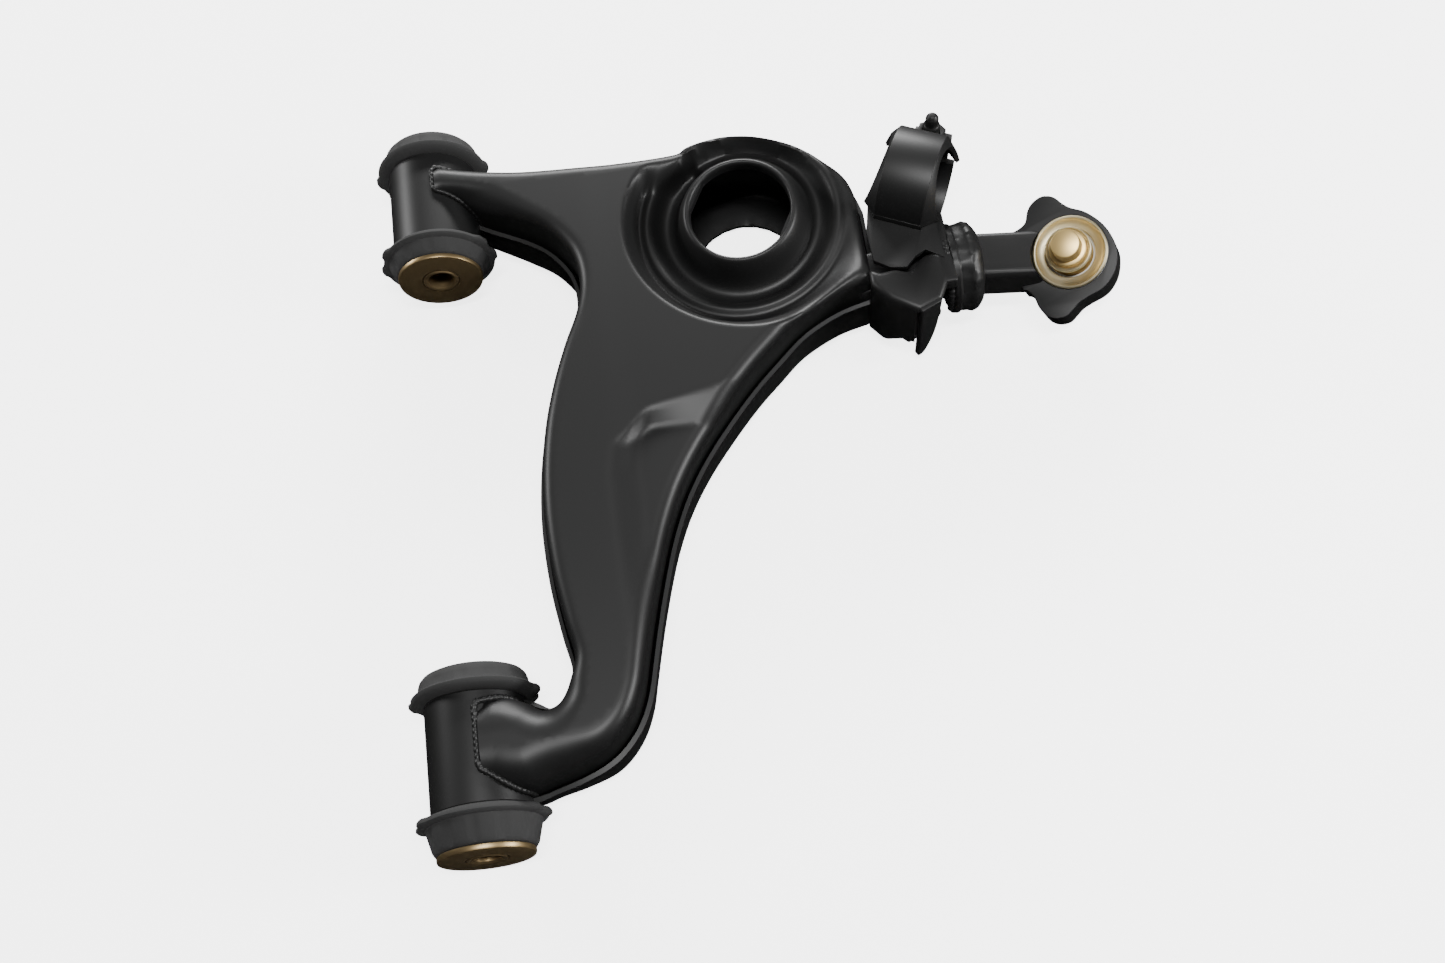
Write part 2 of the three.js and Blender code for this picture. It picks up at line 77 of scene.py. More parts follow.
SEAT = Vector((145, -4, 25))
SEAT_UP = Vector((-0.08, -0.13, 0.988)).normalized()
SEAT_PROFILE = [(23.4, -1.8), (23.9, -0.5), (24.9, 0), (26.2, -0.7), (28.2, -4.2), (30.6, -11.2),
                (32.4, -15.4), (35, -17.1), (37.4, -17), (39.8, -15.2), (43, -10.9), (45.5, -9.6),
                (47.4, -10.6), (48.8, -11.2)]
NECK_R = 23.4
MOAT_R = 48.8
LOWER_HOLE_R = 25

EYE = Vector((291, -46, 10))
EYE_UP = Vector((-0.329, -0.292, 0.898)).normalized()
TUBE_R = 21.2
FORGING_Y = -38.6
PLATE_TOP = 24.1
UPPER_WALL_END = -1
LOWER_WALL_END = -2.6
LOWER_HOLE = (146.0, -6.0)
RUBBER_INSET = 3.1
WASHER_INSET = 0.3
HIDDEN_DISC_R = 17.4
BALL_R = 11
BALL_DROP = -9
EYE_BORE_R = 17.3
COLLAR_WELD_R = 18.8
FLOOR_DROP = 0.0005


# ---- sizes and finishes that a user would change -------------------------------------------------

class ShellSizes(bpy.types.PropertyGroup):
    sheet: bpy.props.FloatProperty(
        name="Sheet", description="Thickness of the pressed sheet", default=2.6 * MM, unit="LENGTH")
    fold: bpy.props.FloatProperty(
        name="Fold", description="Outside radius of the folds", default=6.0 * MM, unit="LENGTH")
    step: bpy.props.FloatProperty(
        name="Leg step", description="How far the leg lies below the plate", default=5.4 * MM, unit="LENGTH")
    helix: bpy.props.FloatProperty(
        name="Spring end step", description="Rise of the spring groove at its end stop",
        default=4.6 * MM, unit="LENGTH")
    mesh: bpy.props.FloatProperty(
        name="Mesh size", description="Spacing of the points on the flat plate", default=2.2 * MM,
        unit="LENGTH")


class BushSizes(bpy.types.PropertyGroup):
    lip: bpy.props.FloatProperty(
        name="Rubber lip", description="Radius of the rubber's lip outside the tube",
        default=26.3 * MM, unit="LENGTH")
    bore: bpy.props.FloatProperty(
        name="Bolt bore", description="Radius of the bolt's bore in the sleeve", default=6.1 * MM,
        unit="LENGTH")
    disc: bpy.props.FloatProperty(
        name="End washer", description="Radius of the plated end washer", default=20 * MM, unit="LENGTH")


class FinishColours(bpy.types.PropertyGroup):
    paint: bpy.props.FloatVectorProperty(
        name="Paint", description="Gloss black paint", subtype="COLOR", default=(0.0009, 0.0009, 0.001))
    rubber: bpy.props.FloatVectorProperty(
        name="Rubber", description="Moulded bush rubber", subtype="COLOR", default=(0.003, 0.003, 0.0033))
    zinc: bpy.props.FloatVectorProperty(
        name="Zinc", description="Golden-brown plated washers", subtype="COLOR", default=(0.34, 0.225, 0.085))
    chromate: bpy.props.FloatVectorProperty(
        name="Chromate", description="Satin plated joint cover", subtype="COLOR",
        default=(0.24, 0.2, 0.115))
    stud: bpy.props.FloatVectorProperty(
        name="Stud", description="Bright turned stud", subtype="COLOR", default=(0.75, 0.53, 0.2))


# ---- bench: primitives, edit-mode steps and modifiers ---------------------------------------------

def deselect():
    if bpy.context.object and bpy.context.object.mode != "OBJECT":
        bpy.ops.object.mode_set(mode="OBJECT")
    bpy.ops.object.select_all(action="DESELECT")


def pick(obj):
    deselect()
    obj.select_set(True)
    bpy.context.view_layer.objects.active = obj
    return obj


def named(name):
    obj = bpy.context.object
    obj.name = name
    obj.data.name = name
    bpy.ops.object.transform_apply(location=True, rotation=True, scale=True)
    return obj


def close_up(obj):
    """Merges what meets and turns the faces outwards."""
    pick(obj)
    bpy.ops.object.mode_set(mode="EDIT")
    bpy.ops.mesh.select_all(action="SELECT")
    bpy.ops.mesh.remove_doubles(threshold=0.005)
    bpy.ops.mesh.normals_make_consistent(inside=False)
    bpy.ops.object.mode_set(mode="OBJECT")
    return obj


def turned(name, profile, segments=96, ring=True):
    """A circle at the first radius, extruded and scaled from point to point of the profile."""
    deselect()
    radius, height = profile[0]
    bpy.ops.mesh.primitive_circle_add(vertices=segments, radius=radius, location=(0, 0, height))
    obj = named(name)
    bpy.ops.object.mode_set(mode="EDIT")
    bpy.ops.mesh.select_all(action="SELECT")
    for next_radius, next_height in profile[1:] + (profile[:1] if ring else []):
        bpy.ops.mesh.extrude_region_move(TRANSFORM_OT_translate={"value": (0, 0, next_height - height)})
        scale = next_radius / radius
        bpy.ops.transform.resize(value=(scale, scale, 1), center_override=(0, 0, next_height))
        radius, height = next_radius, next_height
    if not ring:
        bpy.ops.mesh.select_all(action="SELECT")
        bpy.ops.mesh.fill_holes(sides=0)
    return close_up(obj)


def plate(name, points, low, high):
    """A flat outline, extruded upright."""
    deselect()
    bpy.ops.mesh.primitive_circle_add(vertices=len(points), radius=1, fill_type="NGON")
    obj = named(name)
    for vertex, (x, y) in zip(obj.data.vertices, points):
        vertex.co = (x, y, low)
    bpy.ops.object.mode_set(mode="EDIT")
    bpy.ops.mesh.select_all(action="SELECT")
    bpy.ops.mesh.extrude_region_move(TRANSFORM_OT_translate={"value": (0, 0, high - low)})
    return close_up(obj)


def block(name, low, high):
    deselect()
    bpy.ops.mesh.primitive_cube_add(size=1)
    obj = bpy.context.object
    obj.scale = [b - a for a, b in zip(low, high)]
    obj.location = [(a + b) / 2 for a, b in zip(low, high)]
    return named(name)


def rod(name, radius, low, high, segments=64):
    return turned(name, [(radius, low), (radius, high)], segments, ring=False)


def finish(obj, kind, **settings):
    """Adds one modifier and applies it."""
    pick(obj)
    modifier = obj.modifiers.new(kind.lower(), kind)
    for key, value in settings.items():
        setattr(modifier, key, value)
    bpy.ops.object.modifier_apply(modifier=modifier.name)
    return obj


def soften(obj, width, segments=2, angle=28):
    return finish(obj, "BEVEL", width=width, segments=segments, limit_method="ANGLE",
                  angle_limit=math.radians(angle), harden_normals=False, use_clamp_overlap=True)


def combine(obj, other, operation="UNION"):
    finish(obj, "BOOLEAN", object=other, operation=operation, solver="EXACT")
    bpy.data.objects.remove(other)
    return obj


def cut(obj, other):
    return combine(obj, other, "DIFFERENCE")


def put(obj, matrix):
    obj.data.transform(matrix)
    obj.data.update()
    return obj


def facing(up, origin):
    """Frame whose Z is up and whose X lies as near the arm's X as it can."""
    across = (Vector((1, 0, 0)) - up * up.x).normalized()
    along = up.cross(across)
    matrix = Matrix((across, along, up)).transposed().to_4x4()
    matrix.translation = origin
    return matrix


ALONG_Y = Matrix.Rotation(math.radians(-90), 4, "X")
ALONG_X = Matrix.Rotation(math.radians(90), 4, "Y")


def settle(obj, body, slot, nodes=(), angle=32):
    """Brings a finished piece to metres in the frame, and says what it rides on and stands for."""
    put(obj, Matrix.Translation(ORIGIN) @ Matrix.Scale(MM, 4))
    pick(obj)
    bpy.ops.object.shade_smooth_by_angle(angle=math.radians(angle))
    obj.data.materials.clear()
    obj.data.materials.append(bpy.data.materials[slot])
    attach(obj, body)
    if nodes:
        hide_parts(*nodes)
    return obj


# ---- materials ------------------------------------------------------------------------------------

def group(name, inputs, outputs):
    tree = bpy.data.node_groups.new(name, "ShaderNodeTree")
    for label, kind, value in inputs:
        tree.interface.new_socket(label, in_out="INPUT", socket_type=kind).default_value = value
    for label, kind in outputs:
        tree.interface.new_socket(label, in_out="OUTPUT", socket_type=kind)
    return tree, tree.nodes.new("NodeGroupInput"), tree.nodes.new("NodeGroupOutput")


def noise(tree, scale, detail=4.0, roughness=0.55):
    node = tree.nodes.new("ShaderNodeTexNoise")
    node.inputs["Scale"].default_value = scale
    node.inputs["Detail"].default_value = detail
    node.inputs["Roughness"].default_value = roughness
    return node


def sums(tree, operation, a=None, b=None):
    node = tree.nodes.new("ShaderNodeMath")
    node.operation = operation
    for socket, value in zip(node.inputs, (a, b)):
        if isinstance(value, (int, float)):
            socket.default_value = value
        elif value is not None:
            tree.links.new(value, socket)
    return node.outputs[0]


def span(tree, value, low, high, to_low, to_high):
    node = tree.nodes.new("ShaderNodeMapRange")
    node.interpolation_type = "SMOOTHSTEP"
    tree.links.new(value, node.inputs["Value"])
    for label, number in (("From Min", low), ("From Max", high), ("To Min", to_low), ("To Max", to_high)):
        socket = node.inputs[label]
        if isinstance(number, (int, float)):
            socket.default_value = number
        else:
            tree.links.new(number, socket)
    return node.outputs["Result"]


def grain_group():
    """Mottling and a fine height: two noises on the object's own coordinates."""
    tree, inside, outside = group(
        "grain",
        [("Patch Scale", "NodeSocketFloat", 40.0), ("Fine Scale", "NodeSocketFloat", 900.0)],
        [("Patches", "NodeSocketFloat"), ("Height", "NodeSocketFloat")])
    place = tree.nodes.new("ShaderNodeTexCoord")
    for label, source, detail in (("Patches", "Patch Scale", 5.0), ("Height", "Fine Scale", 2.0)):
        node = noise(tree, 1.0, detail)
        tree.links.new(place.outputs["Object"], node.inputs["Vector"])
        tree.links.new(inside.outputs[source], node.inputs["Scale"])
        tree.links.new(node.outputs["Fac"], outside.inputs[label])
    return tree


def wear_group():
    """Where edges have rubbed: convex places, broken up by noise."""
    tree, inside, outside = group(
        "edge wear",
        [("Amount", "NodeSocketFloat", 0.5), ("Break Up", "NodeSocketFloat", 350.0)],
        [("Worn", "NodeSocketFloat")])
    shape = tree.nodes.new("ShaderNodeNewGeometry")
    place = tree.nodes.new("ShaderNodeTexCoord")
    node = noise(tree, 1.0, 3.0)
    tree.links.new(place.outputs["Object"], node.inputs["Vector"])
    tree.links.new(inside.outputs["Break Up"], node.inputs["Scale"])
    edges = span(tree, shape.outputs["Pointiness"], 0.53, 0.62, 0.0, 1.0)
    broken = span(tree, node.outputs["Fac"], 0.45, 0.65, 0.0, 1.0)
    worn = sums(tree, "MULTIPLY", edges, broken)
    tree.links.new(sums(tree, "MULTIPLY", worn, inside.outputs["Amount"]), outside.inputs["Worn"])
    return tree


def dust_group():
    """Dust and drying marks that lie on faces that look up."""
    tree, inside, outside = group(
        "settled dust",
        [("Amount", "NodeSocketFloat", 0.3)],
        [("Dust", "NodeSocketFloat")])
    shape = tree.nodes.new("ShaderNodeNewGeometry")
    split = tree.nodes.new("ShaderNodeSeparateXYZ")
    tree.links.new(shape.outputs["Normal"], split.inputs[0])
    place = tree.nodes.new("ShaderNodeTexCoord")
    specks = noise(tree, 260.0, 8.0, 0.7)
    tree.links.new(place.outputs["Object"], specks.inputs["Vector"])
    upward = span(tree, split.outputs["Z"], 0.3, 1.0, 0.15, 1.0)
    spots = span(tree, specks.outputs["Fac"], 0.48, 0.78, 0.0, 1.0)
    dusty = sums(tree, "MULTIPLY", upward, spots)
    tree.links.new(sums(tree, "MULTIPLY", dusty, inside.outputs["Amount"]), outside.inputs["Dust"])
    return tree


class Surface:
    """One material: a Principled shader, the shared groups beside it, and short ways to wire them."""

    def __init__(self, name, colour, metallic, roughness):
        self.material = bpy.data.materials.new(name)
        self.material.use_nodes = True
        self.tree = self.material.node_tree
        self.shader = self.tree.nodes["Principled BSDF"]
        self.shader.inputs["Base Color"].default_value = (*colour, 1)
        self.shader.inputs["Metallic"].default_value = metallic
        self.shader.inputs["Roughness"].default_value = roughness
        self.material.diffuse_color = (*colour, 1)

    def use(self, name, **values):
        node = self.tree.nodes.new("ShaderNodeGroup")
        node.node_tree = bpy.data.node_groups[name]
        for label, value in values.items():
            node.inputs[label.replace("_", " ")].default_value = value
        return node.outputs

    def colours(self, mask, first, second):
        mix = self.tree.nodes.new("ShaderNodeMix")
        mix.data_type = "RGBA"
        self.tree.links.new(mask, mix.inputs["Factor"])
        for socket, colour in zip((mix.inputs[6], mix.inputs[7]), (first, second)):
            if isinstance(colour, bpy.types.NodeSocket):
                self.tree.links.new(colour, socket)
            else:
                socket.default_value = (*colour, 1)
        return mix.outputs[2]

    def feed(self, label, value):
        self.tree.links.new(value, self.shader.inputs[label])

    def bump(self, height, strength, distance, under=None):
        node = self.tree.nodes.new("ShaderNodeBump")
        node.inputs["Strength"].default_value = strength
        node.inputs["Distance"].default_value = distance
        self.tree.links.new(height, node.inputs["Height"])
        if under:
            self.tree.links.new(under, node.inputs["Normal"])
        self.feed("Normal", node.outputs["Normal"])
        return node.outputs["Normal"]


def shade(colour, factor):
    return tuple(min(1.0, channel * factor) for channel in colour)


def paint_material(colour):
    """Gloss black paint with a soft orange peel, mottled gloss and a little dust."""
    paint = Surface("arm_paint", colour, 0.0, 0.15)
    paint.shader.inputs["Specular IOR Level"].default_value = 0.5
    grain = paint.use("grain", Patch_Scale=22.0, Fine_Scale=420.0)
    worn = paint.use("edge wear", Amount=0.2)["Worn"]
    dust = paint.use("settled dust", Amount=0.12)["Dust"]
    body = paint.colours(grain["Patches"], shade(colour, 0.7), shade(colour, 1.5))
    dusty = paint.colours(dust, body, (0.006, 0.0058, 0.0055))
    paint.feed("Base Color", paint.colours(worn, dusty, (0.02, 0.02, 0.021)))
    gloss = span(paint.tree, grain["Patches"], 0.3, 0.7, 0.05, 0.1)
    paint.feed("Roughness", sums(paint.tree, "ADD", gloss, sums(paint.tree, "MULTIPLY", dust, 0.15)))
    paint.bump(grain["Height"], 0.035, 0.0004)


def rubber_material(colour):
    """Matt rubber with a faint bloom and mould grain."""
    rubber = Surface("bush_rubber", colour, 0.0, 0.6)
    rubber.shader.inputs["Specular IOR Level"].default_value = 0.35
    grain = rubber.use("grain", Patch_Scale=90.0, Fine_Scale=1600.0)
    dust = rubber.use("settled dust", Amount=0.3)["Dust"]
    body = rubber.colours(grain["Patches"], shade(colour, 0.6), shade(colour, 1.6))
    rubber.feed("Base Color", rubber.colours(dust, body, (0.009, 0.0088, 0.0086)))
    rubber.feed("Roughness", span(rubber.tree, grain["Patches"], 0.3, 0.7, 0.5, 0.72))
    rubber.bump(grain["Height"], 0.25, 0.0003)


def plated_material(name, colour, metallic, roughness, patch=120.0, rubbed=0.5):
    """Plating with cloudy colour and duller patches."""
    metal = Surface(name, colour, metallic, roughness)
    grain = metal.use("grain", Patch_Scale=patch, Fine_Scale=2200.0)
    worn = metal.use("edge wear", Amount=rubbed)["Worn"]
    body = metal.colours(grain["Patches"], shade(colour, 0.72), shade(colour, 1.3))
    metal.feed("Base Color", metal.colours(worn, body, (0.45, 0.36, 0.2)))
    metal.feed("Roughness", span(metal.tree, grain["Patches"], 0.3, 0.7, roughness - 0.08, roughness + 0.1))
    metal.bump(grain["Height"], 0.12, 0.0002)
    return metal


def lathe_rings(surface, origin, up, pitch):
    """Height of turning marks: rings about an axis, a fixed pitch apart."""
    tree = surface.tree
    place = tree.nodes.new("ShaderNodeTexCoord")
    mapping = tree.nodes.new("ShaderNodeMapping")
    mapping.vector_type = "TEXTURE"
    turn = facing(up, Vector()).to_euler()
    mapping.inputs["Location"].default_value = ORIGIN + origin * MM
    mapping.inputs["Rotation"].default_value = turn
    tree.links.new(place.outputs["Object"], mapping.inputs["Vector"])
    split = tree.nodes.new("ShaderNodeSeparateXYZ")
    tree.links.new(mapping.outputs["Vector"], split.inputs[0])
    squared = [sums(tree, "MULTIPLY", split.outputs[axis], split.outputs[axis]) for axis in "XY"]
    radius = sums(tree, "SQRT", sums(tree, "ADD", *squared))
    turns = sums(tree, "MULTIPLY", radius, math.tau / pitch)
    return sums(tree, "SINE", turns)


def stud_material(colour):
    """Bright turned metal, with rings from the lathe."""
    stud = Surface("turned_stud", colour, 1.0, 0.22)
    grain = stud.use("grain", Patch_Scale=150.0, Fine_Scale=1800.0)
    stud.feed("Base Color", stud.colours(grain["Patches"], shade(colour, 0.85), shade(colour, 1.12)))
    stud.feed("Roughness", span(stud.tree, grain["Patches"], 0.3, 0.7, 0.18, 0.28))
    stud.bump(lathe_rings(stud, EYE, EYE_UP, 0.0005), 0.5, 0.00006)


def chromate_material(colour):
    """Satin plated cover with faint turning marks."""
    cover = Surface("yellow_chromate", colour, 0.8, 0.34)
    grain = cover.use("grain", Patch_Scale=110.0, Fine_Scale=1800.0)
    cover.feed("Base Color", cover.colours(grain["Patches"], shade(colour, 0.8), shade(colour, 1.2)))
    cover.feed("Roughness", span(cover.tree, grain["Patches"], 0.3, 0.7, 0.28, 0.42))
    cover.bump(lathe_rings(cover, EYE, EYE_UP, 0.0008), 0.25, 0.00005)


def resin_material():
    """Moulded bearing plastic."""
    resin = Surface("bearing_resin", (0.70, 0.66, 0.55), 0.0, 0.45)
    grain = resin.use("grain", Patch_Scale=150.0, Fine_Scale=1500.0)
    resin.feed("Base Color", resin.colours(grain["Patches"], (0.62, 0.58, 0.47), (0.76, 0.72, 0.62)))
    resin.bump(grain["Height"], 0.1, 0.0002)


# ---- outlines -------------------------------------------------------------------------------------

def smooth_through(points, steps):
    """Uniform Catmull-Rom curve through the points."""
    points = [np.array(p, float) for p in points]
    padded = [points[0], *points, points[-1]]
    curve = []
    for before, a, b, after in zip(padded, padded[1:], padded[2:], padded[3:]):
        for t in np.arange(steps) / steps:
            curve.append(0.5 * (2 * a + (b - before) * t + (2 * before - 5 * a + 4 * b - after) * t ** 2
                                + (3 * a - before - 3 * b + after) * t ** 3))
    curve.append(points[-1])
    return np.array(curve)


def evenly(points, spacing):
    """The same line with its points a fixed spacing apart."""
    points = np.array(points, float)
    lengths = np.r_[0, np.cumsum(np.linalg.norm(np.diff(points, axis=0), axis=1))]
    marks = np.linspace(0, lengths[-1], max(2, int(round(lengths[-1] / spacing)) + 1))
    return np.column_stack([np.interp(marks, lengths, points[:, k]) for k in range(points.shape[1])])


def body_outline(spacing):
    """The arm's plan outline, anticlockwise, and which of its points lie on a folded edge."""
    end = [FRONT_EDGE[-1], OUTER_EDGE[0]]
    stretches = [(smooth_through(FRONT_EDGE, 8), True), (end, True), (smooth_through(OUTER_EDGE, 8), True),
                 ([OUTER_EDGE[-1], INNER_EDGE[0]], False), (smooth_through(INNER_EDGE, 8), True),
                 ([INNER_EDGE[-1], FRONT_EDGE[0]], False)]
    points, folded = [], []
    for line, fold in stretches:
        even = evenly(line, spacing)[:-1]
        points.extend(even)
        folded.extend([fold] * len(even))
    return np.array(points)[::-1], np.array(folded)[::-1]


def outwards(points):
    """Unit normals of an anticlockwise closed outline."""
    ahead = np.roll(points, -1, 0) - np.roll(points, 1, 0)
    normal = np.column_stack([ahead[:, 1], -ahead[:, 0]])
    return normal / np.linalg.norm(normal, axis=1)[:, None]


def distance_to(points, starts, ends):
    """Shortest distance from each point to a set of line pieces."""
    along = ends - starts
    length = np.maximum((along ** 2).sum(1), 1e-9)
    nearest = np.full(len(points), 1e9)
    for first in range(0, len(points), 4000):
        part = points[first:first + 4000, None]
        t = np.clip(((part - starts) * along).sum(2) / length, 0, 1)
        gap = np.linalg.norm(part - starts - t[..., None] * along, axis=2)
        nearest[first:first + 4000] = gap.min(1)
    return nearest


def inside(points, outline):
    """Even-odd test of points against a closed outline."""
    x, y = points[:, 0, None], points[:, 1, None]
    ax, ay = outline[:, 0], outline[:, 1]
    bx, by = np.roll(ax, -1), np.roll(ay, -1)
    crosses = (ay > y) != (by > y)
    with np.errstate(divide="ignore", invalid="ignore"):
        at = (bx - ax) * (y - ay) / (by - ay) + ax
    return (crosses & (x < at)).sum(1) % 2 == 1


def ease(t):
    t = np.clip(t, 0, 1)
    return t * t * (3 - 2 * t)


# ---- pressed shells -------------------------------------------------------------------------------

def leg_step(x, y, depth):
    """The pressed step across the leg: a flat slanting facet, narrow inboard, wide at the outer fold."""
    crest = -91 - 0.2 * (120 - x) - 9 * ease((92 - x) / 16)
    width = 5 + 13 * np.clip((x - 80) / 40, 0, 1)
    slope = np.clip((crest - y) / width, 0, 1)
    crease = np.minimum(slope, 1 - slope)
    facet = slope + 0.5 * np.where(slope < 0.5, 1, -1) * np.clip(0.12 - crease, 0, 0.12) ** 2 / 0.12
    reach = ease((x - 71 + ease((crest - y) / 20) * 3) / 16)
    relax = 1 - ease((crest - y - 34) / 90)
    return depth * facet * reach * relax


def plate_height(x, y, top, step):
    """Height of the upper plate without its seat."""
    towards_end = ease((x - 176) / 24)
    return top - 4 * towards_end - leg_step(x, y, step)


def groove_lift(angle, radius, helix):
    """Rise of the spring groove: a step at the spring's end, run out clockwise round the neck."""
    turn = (math.radians(123) - angle) % math.tau
    rise = np.where(turn < math.radians(225), 1 - turn / math.radians(225), 0)
    rise = rise * ease(turn / math.radians(6))
    band = ease((radius - 28.5) / 3.5) * (1 - 0.4 * ease((radius - 40) / 6))
    return helix * rise * band


def seat_curve():
    dense = smooth_through(SEAT_PROFILE, 6)
    return dense[:, 0], dense[:, 1]


def pan_reach(angle):
    """Radius where the pan's outer wall has come up to the plate, in each direction."""
    rearward = (1 - np.sin(angle)) / 2
    inboard = (1 - np.cos(angle)) / 2
    return 59 + 9 * rearward - 7 * inboard


def seat_point(u, v, top, sizes):
    """Place of a point of the seat from its position in the seat's own plane."""
    radius, angle = np.hypot(u, v), np.arctan2(v, u)
    radii, heights = seat_curve()
    height = np.interp(radius, radii, heights) + groove_lift(angle, radius, sizes["helix"])
    turn = facing(SEAT_UP, SEAT)
    across, along, up = (np.array(turn.col[k][:3]) for k in range(3))
    place = np.array(SEAT) + u[:, None] * across + v[:, None] * along + height[:, None] * up
    rise = ease((radius - MOAT_R) / (pan_reach(angle) - MOAT_R))
    level = plate_height(place[:, 0], place[:, 1], top, sizes["step"])
    place[:, 2] = place[:, 2] * (1 - rise) + level * rise
    brim = ease((place[:, 1] - 19) / 12) * ease((radius - 36.5) / 5)
    crown = level + 0.6 * groove_lift(angle, np.full(len(radius), 36.0), sizes["helix"])
    place[:, 2] = place[:, 2] * (1 - brim) + np.maximum(place[:, 2], crown) * brim
    return place


def upper_height(x, y, top, sizes):
    """Height of the upper plate over a place, its seat included."""
    turn = facing(SEAT_UP, SEAT)
    plane = np.array([[turn[r][c] for c in range(2)] for r in range(2)])
    lean = np.array([turn[r][2] for r in range(2)])
    radii, heights = seat_curve()
    target = np.column_stack([x - SEAT.x, y - SEAT.y])
    height = np.zeros(len(x))
    for _ in range(8):
        uv = np.linalg.solve(plane, (target - height[:, None] * lean).T).T
        radius, angle = np.hypot(uv[:, 0], uv[:, 1]), np.arctan2(uv[:, 1], uv[:, 0])
        height = np.interp(radius, radii, heights) + groove_lift(angle, radius, sizes["helix"])
    z = seat_point(uv[:, 0], uv[:, 1], top, sizes)[:, 2]
    return np.where(radius > pan_reach(angle), plate_height(x, y, top, sizes["step"]), z)


def fold_radius(x, y, fold):
    """The folds widen where the tongues come to their tubes."""
    rear = 8 * ease((-206 - y) / 16) * (1 - ease((x - 30) / 34))
    front = 5 * ease((y - 5) / 20) * ease((38 - y) / 8) * (1 - ease((x - 24) / 34))
    return fold + rear + front


def fold_drop(distance, radius):
    reach = np.clip(radius - distance, 0, radius)
    return radius - np.sqrt(radius ** 2 - reach ** 2)


def polar_points(outline_test, sizes, top):
    """Points in rings round the seat, close where the pressing turns sharply."""
    rings = [NECK_R, 23.7, 24.2, 24.9, 25.7, 26.6, 27.6]
    rings += list(np.arange(28.6, 70, 1.05))
    places = []
    for radius in rings:
        count = max(140, int(math.tau * radius / 1.45))
        angle = np.arange(count) / count * math.tau
        places.append(seat_point(radius * np.cos(angle), radius * np.sin(angle), top, sizes))
    rim = len(places[0])
    places = np.concatenate(places)
    keep = np.arange(len(places)) < rim
    keep |= outline_test(places[:, :2])
    reach = pan_reach(np.arctan2(places[:, 1] - SEAT.y, places[:, 0] - SEAT.x)) + 1.5
    keep &= np.hypot(places[:, 0] - SEAT.x, places[:, 1] - SEAT.y) < reach
    return places[keep], rim


def tray(name, outline, folded, height, sizes, wall_to, extra=None, holes=(), draft=0):
    """A pressed sheet over an outline: flat or shaped top, rounded fold and upright wall, still without
    thickness.

    extra holds ready points as (places, number of points in the hole's rim that come first)."""
    fold, spacing = sizes["fold"], sizes["mesh"]
    starts = outline[folded]
    ends = np.roll(outline, -1, 0)[folded]
    normals = outwards(outline)
    radii = fold_radius(outline[:, 0], outline[:, 1], fold)
    rows = [outline]
    for step in range(1, 7):
        depth = radii * (1 - math.cos(math.radians(15 * step)))
        row = (outline - normals * depth[:, None])[folded]
        keep = inside(row, outline) & (distance_to(row, starts, ends) > 0.965 * depth[folded])
        rows.append(row[keep])
    low, high = outline.min(0), outline.max(0)
    across = np.arange(low[0], high[0], spacing)
    along = np.arange(low[1], high[1], spacing * 0.87)
    mesh = np.array([(x + (k % 2) * spacing / 2, y) for k, y in enumerate(along) for x in across])
    mesh = mesh[inside(mesh, outline)]
    mesh = mesh[distance_to(mesh, starts, ends) > fold_radius(mesh[:, 0], mesh[:, 1], fold) + 0.7]
    mesh = mesh[distance_to(mesh, outline, np.roll(outline, -1, 0)) > 0.8]
    places, rim = extra if extra is not None else (np.zeros((0, 3)), 0)
    if rim:
        reach = pan_reach(np.arctan2(mesh[:, 1] - SEAT.y, mesh[:, 0] - SEAT.x)) + 2.2
        mesh = mesh[np.hypot(mesh[:, 0] - SEAT.x, mesh[:, 1] - SEAT.y) > reach]
    circles = []
    for centre, radius in holes:
        angle = np.arange(96) / 96 * math.tau
        circles.append(np.column_stack([centre[0] + radius * np.cos(angle),
                                        centre[1] + radius * np.sin(angle)]))
        mesh = mesh[np.hypot(*(mesh - centre).T) > radius + 1.2]
    flat = np.concatenate([*rows, mesh, *circles])
    z = height(flat[:, 0], flat[:, 1]) - fold_drop(
        distance_to(flat, starts, ends), fold_radius(flat[:, 0], flat[:, 1], fold))
    points = np.concatenate([np.column_stack([flat, z]), places])
    count = len(outline)
    borders = [(k, (k + 1) % count) for k in range(count)]
    base = len(flat)
    borders += [(base + k, base + (k + 1) % rim) for k in range(rim)]
    first = len(flat) - sum(len(c) for c in circles)
    for circle in circles:
        borders += [(first + k, first + (k + 1) % len(circle)) for k in range(len(circle))]
        first += len(circle)
    verts, _, faces, origins, _, _ = delaunay_2d_cdt(
        [Vector(p[:2]) for p in points], borders, [], 1, 1e-4)
    heights = [points[source[0], 2] if source else 0 for source in origins]
    solid = np.array([(v.x, v.y, z) for v, z in zip(verts, heights)])
    opened = [(Vector(centre), radius) for centre, radius in holes]
    if rim:
        ring = places[:rim, :2]
        opened.append((Vector(ring.mean(0)), NECK_R * 0.97))
    kept = []
    for face in faces:
        middle = sum((verts[k] for k in face), Vector((0, 0))) / len(face)
        if all((middle - centre).length > radius * 0.985 for centre, radius in opened):
            kept.append(face)
    data = bpy.data.meshes.new(name)
    data.from_pydata(solid.tolist(), [], kept)
    obj = bpy.data.objects.new(name, data)
    bpy.context.scene.collection.objects.link(obj)
    drop_walls(obj, outline[folded], normals[folded], wall_to, draft)
    return obj


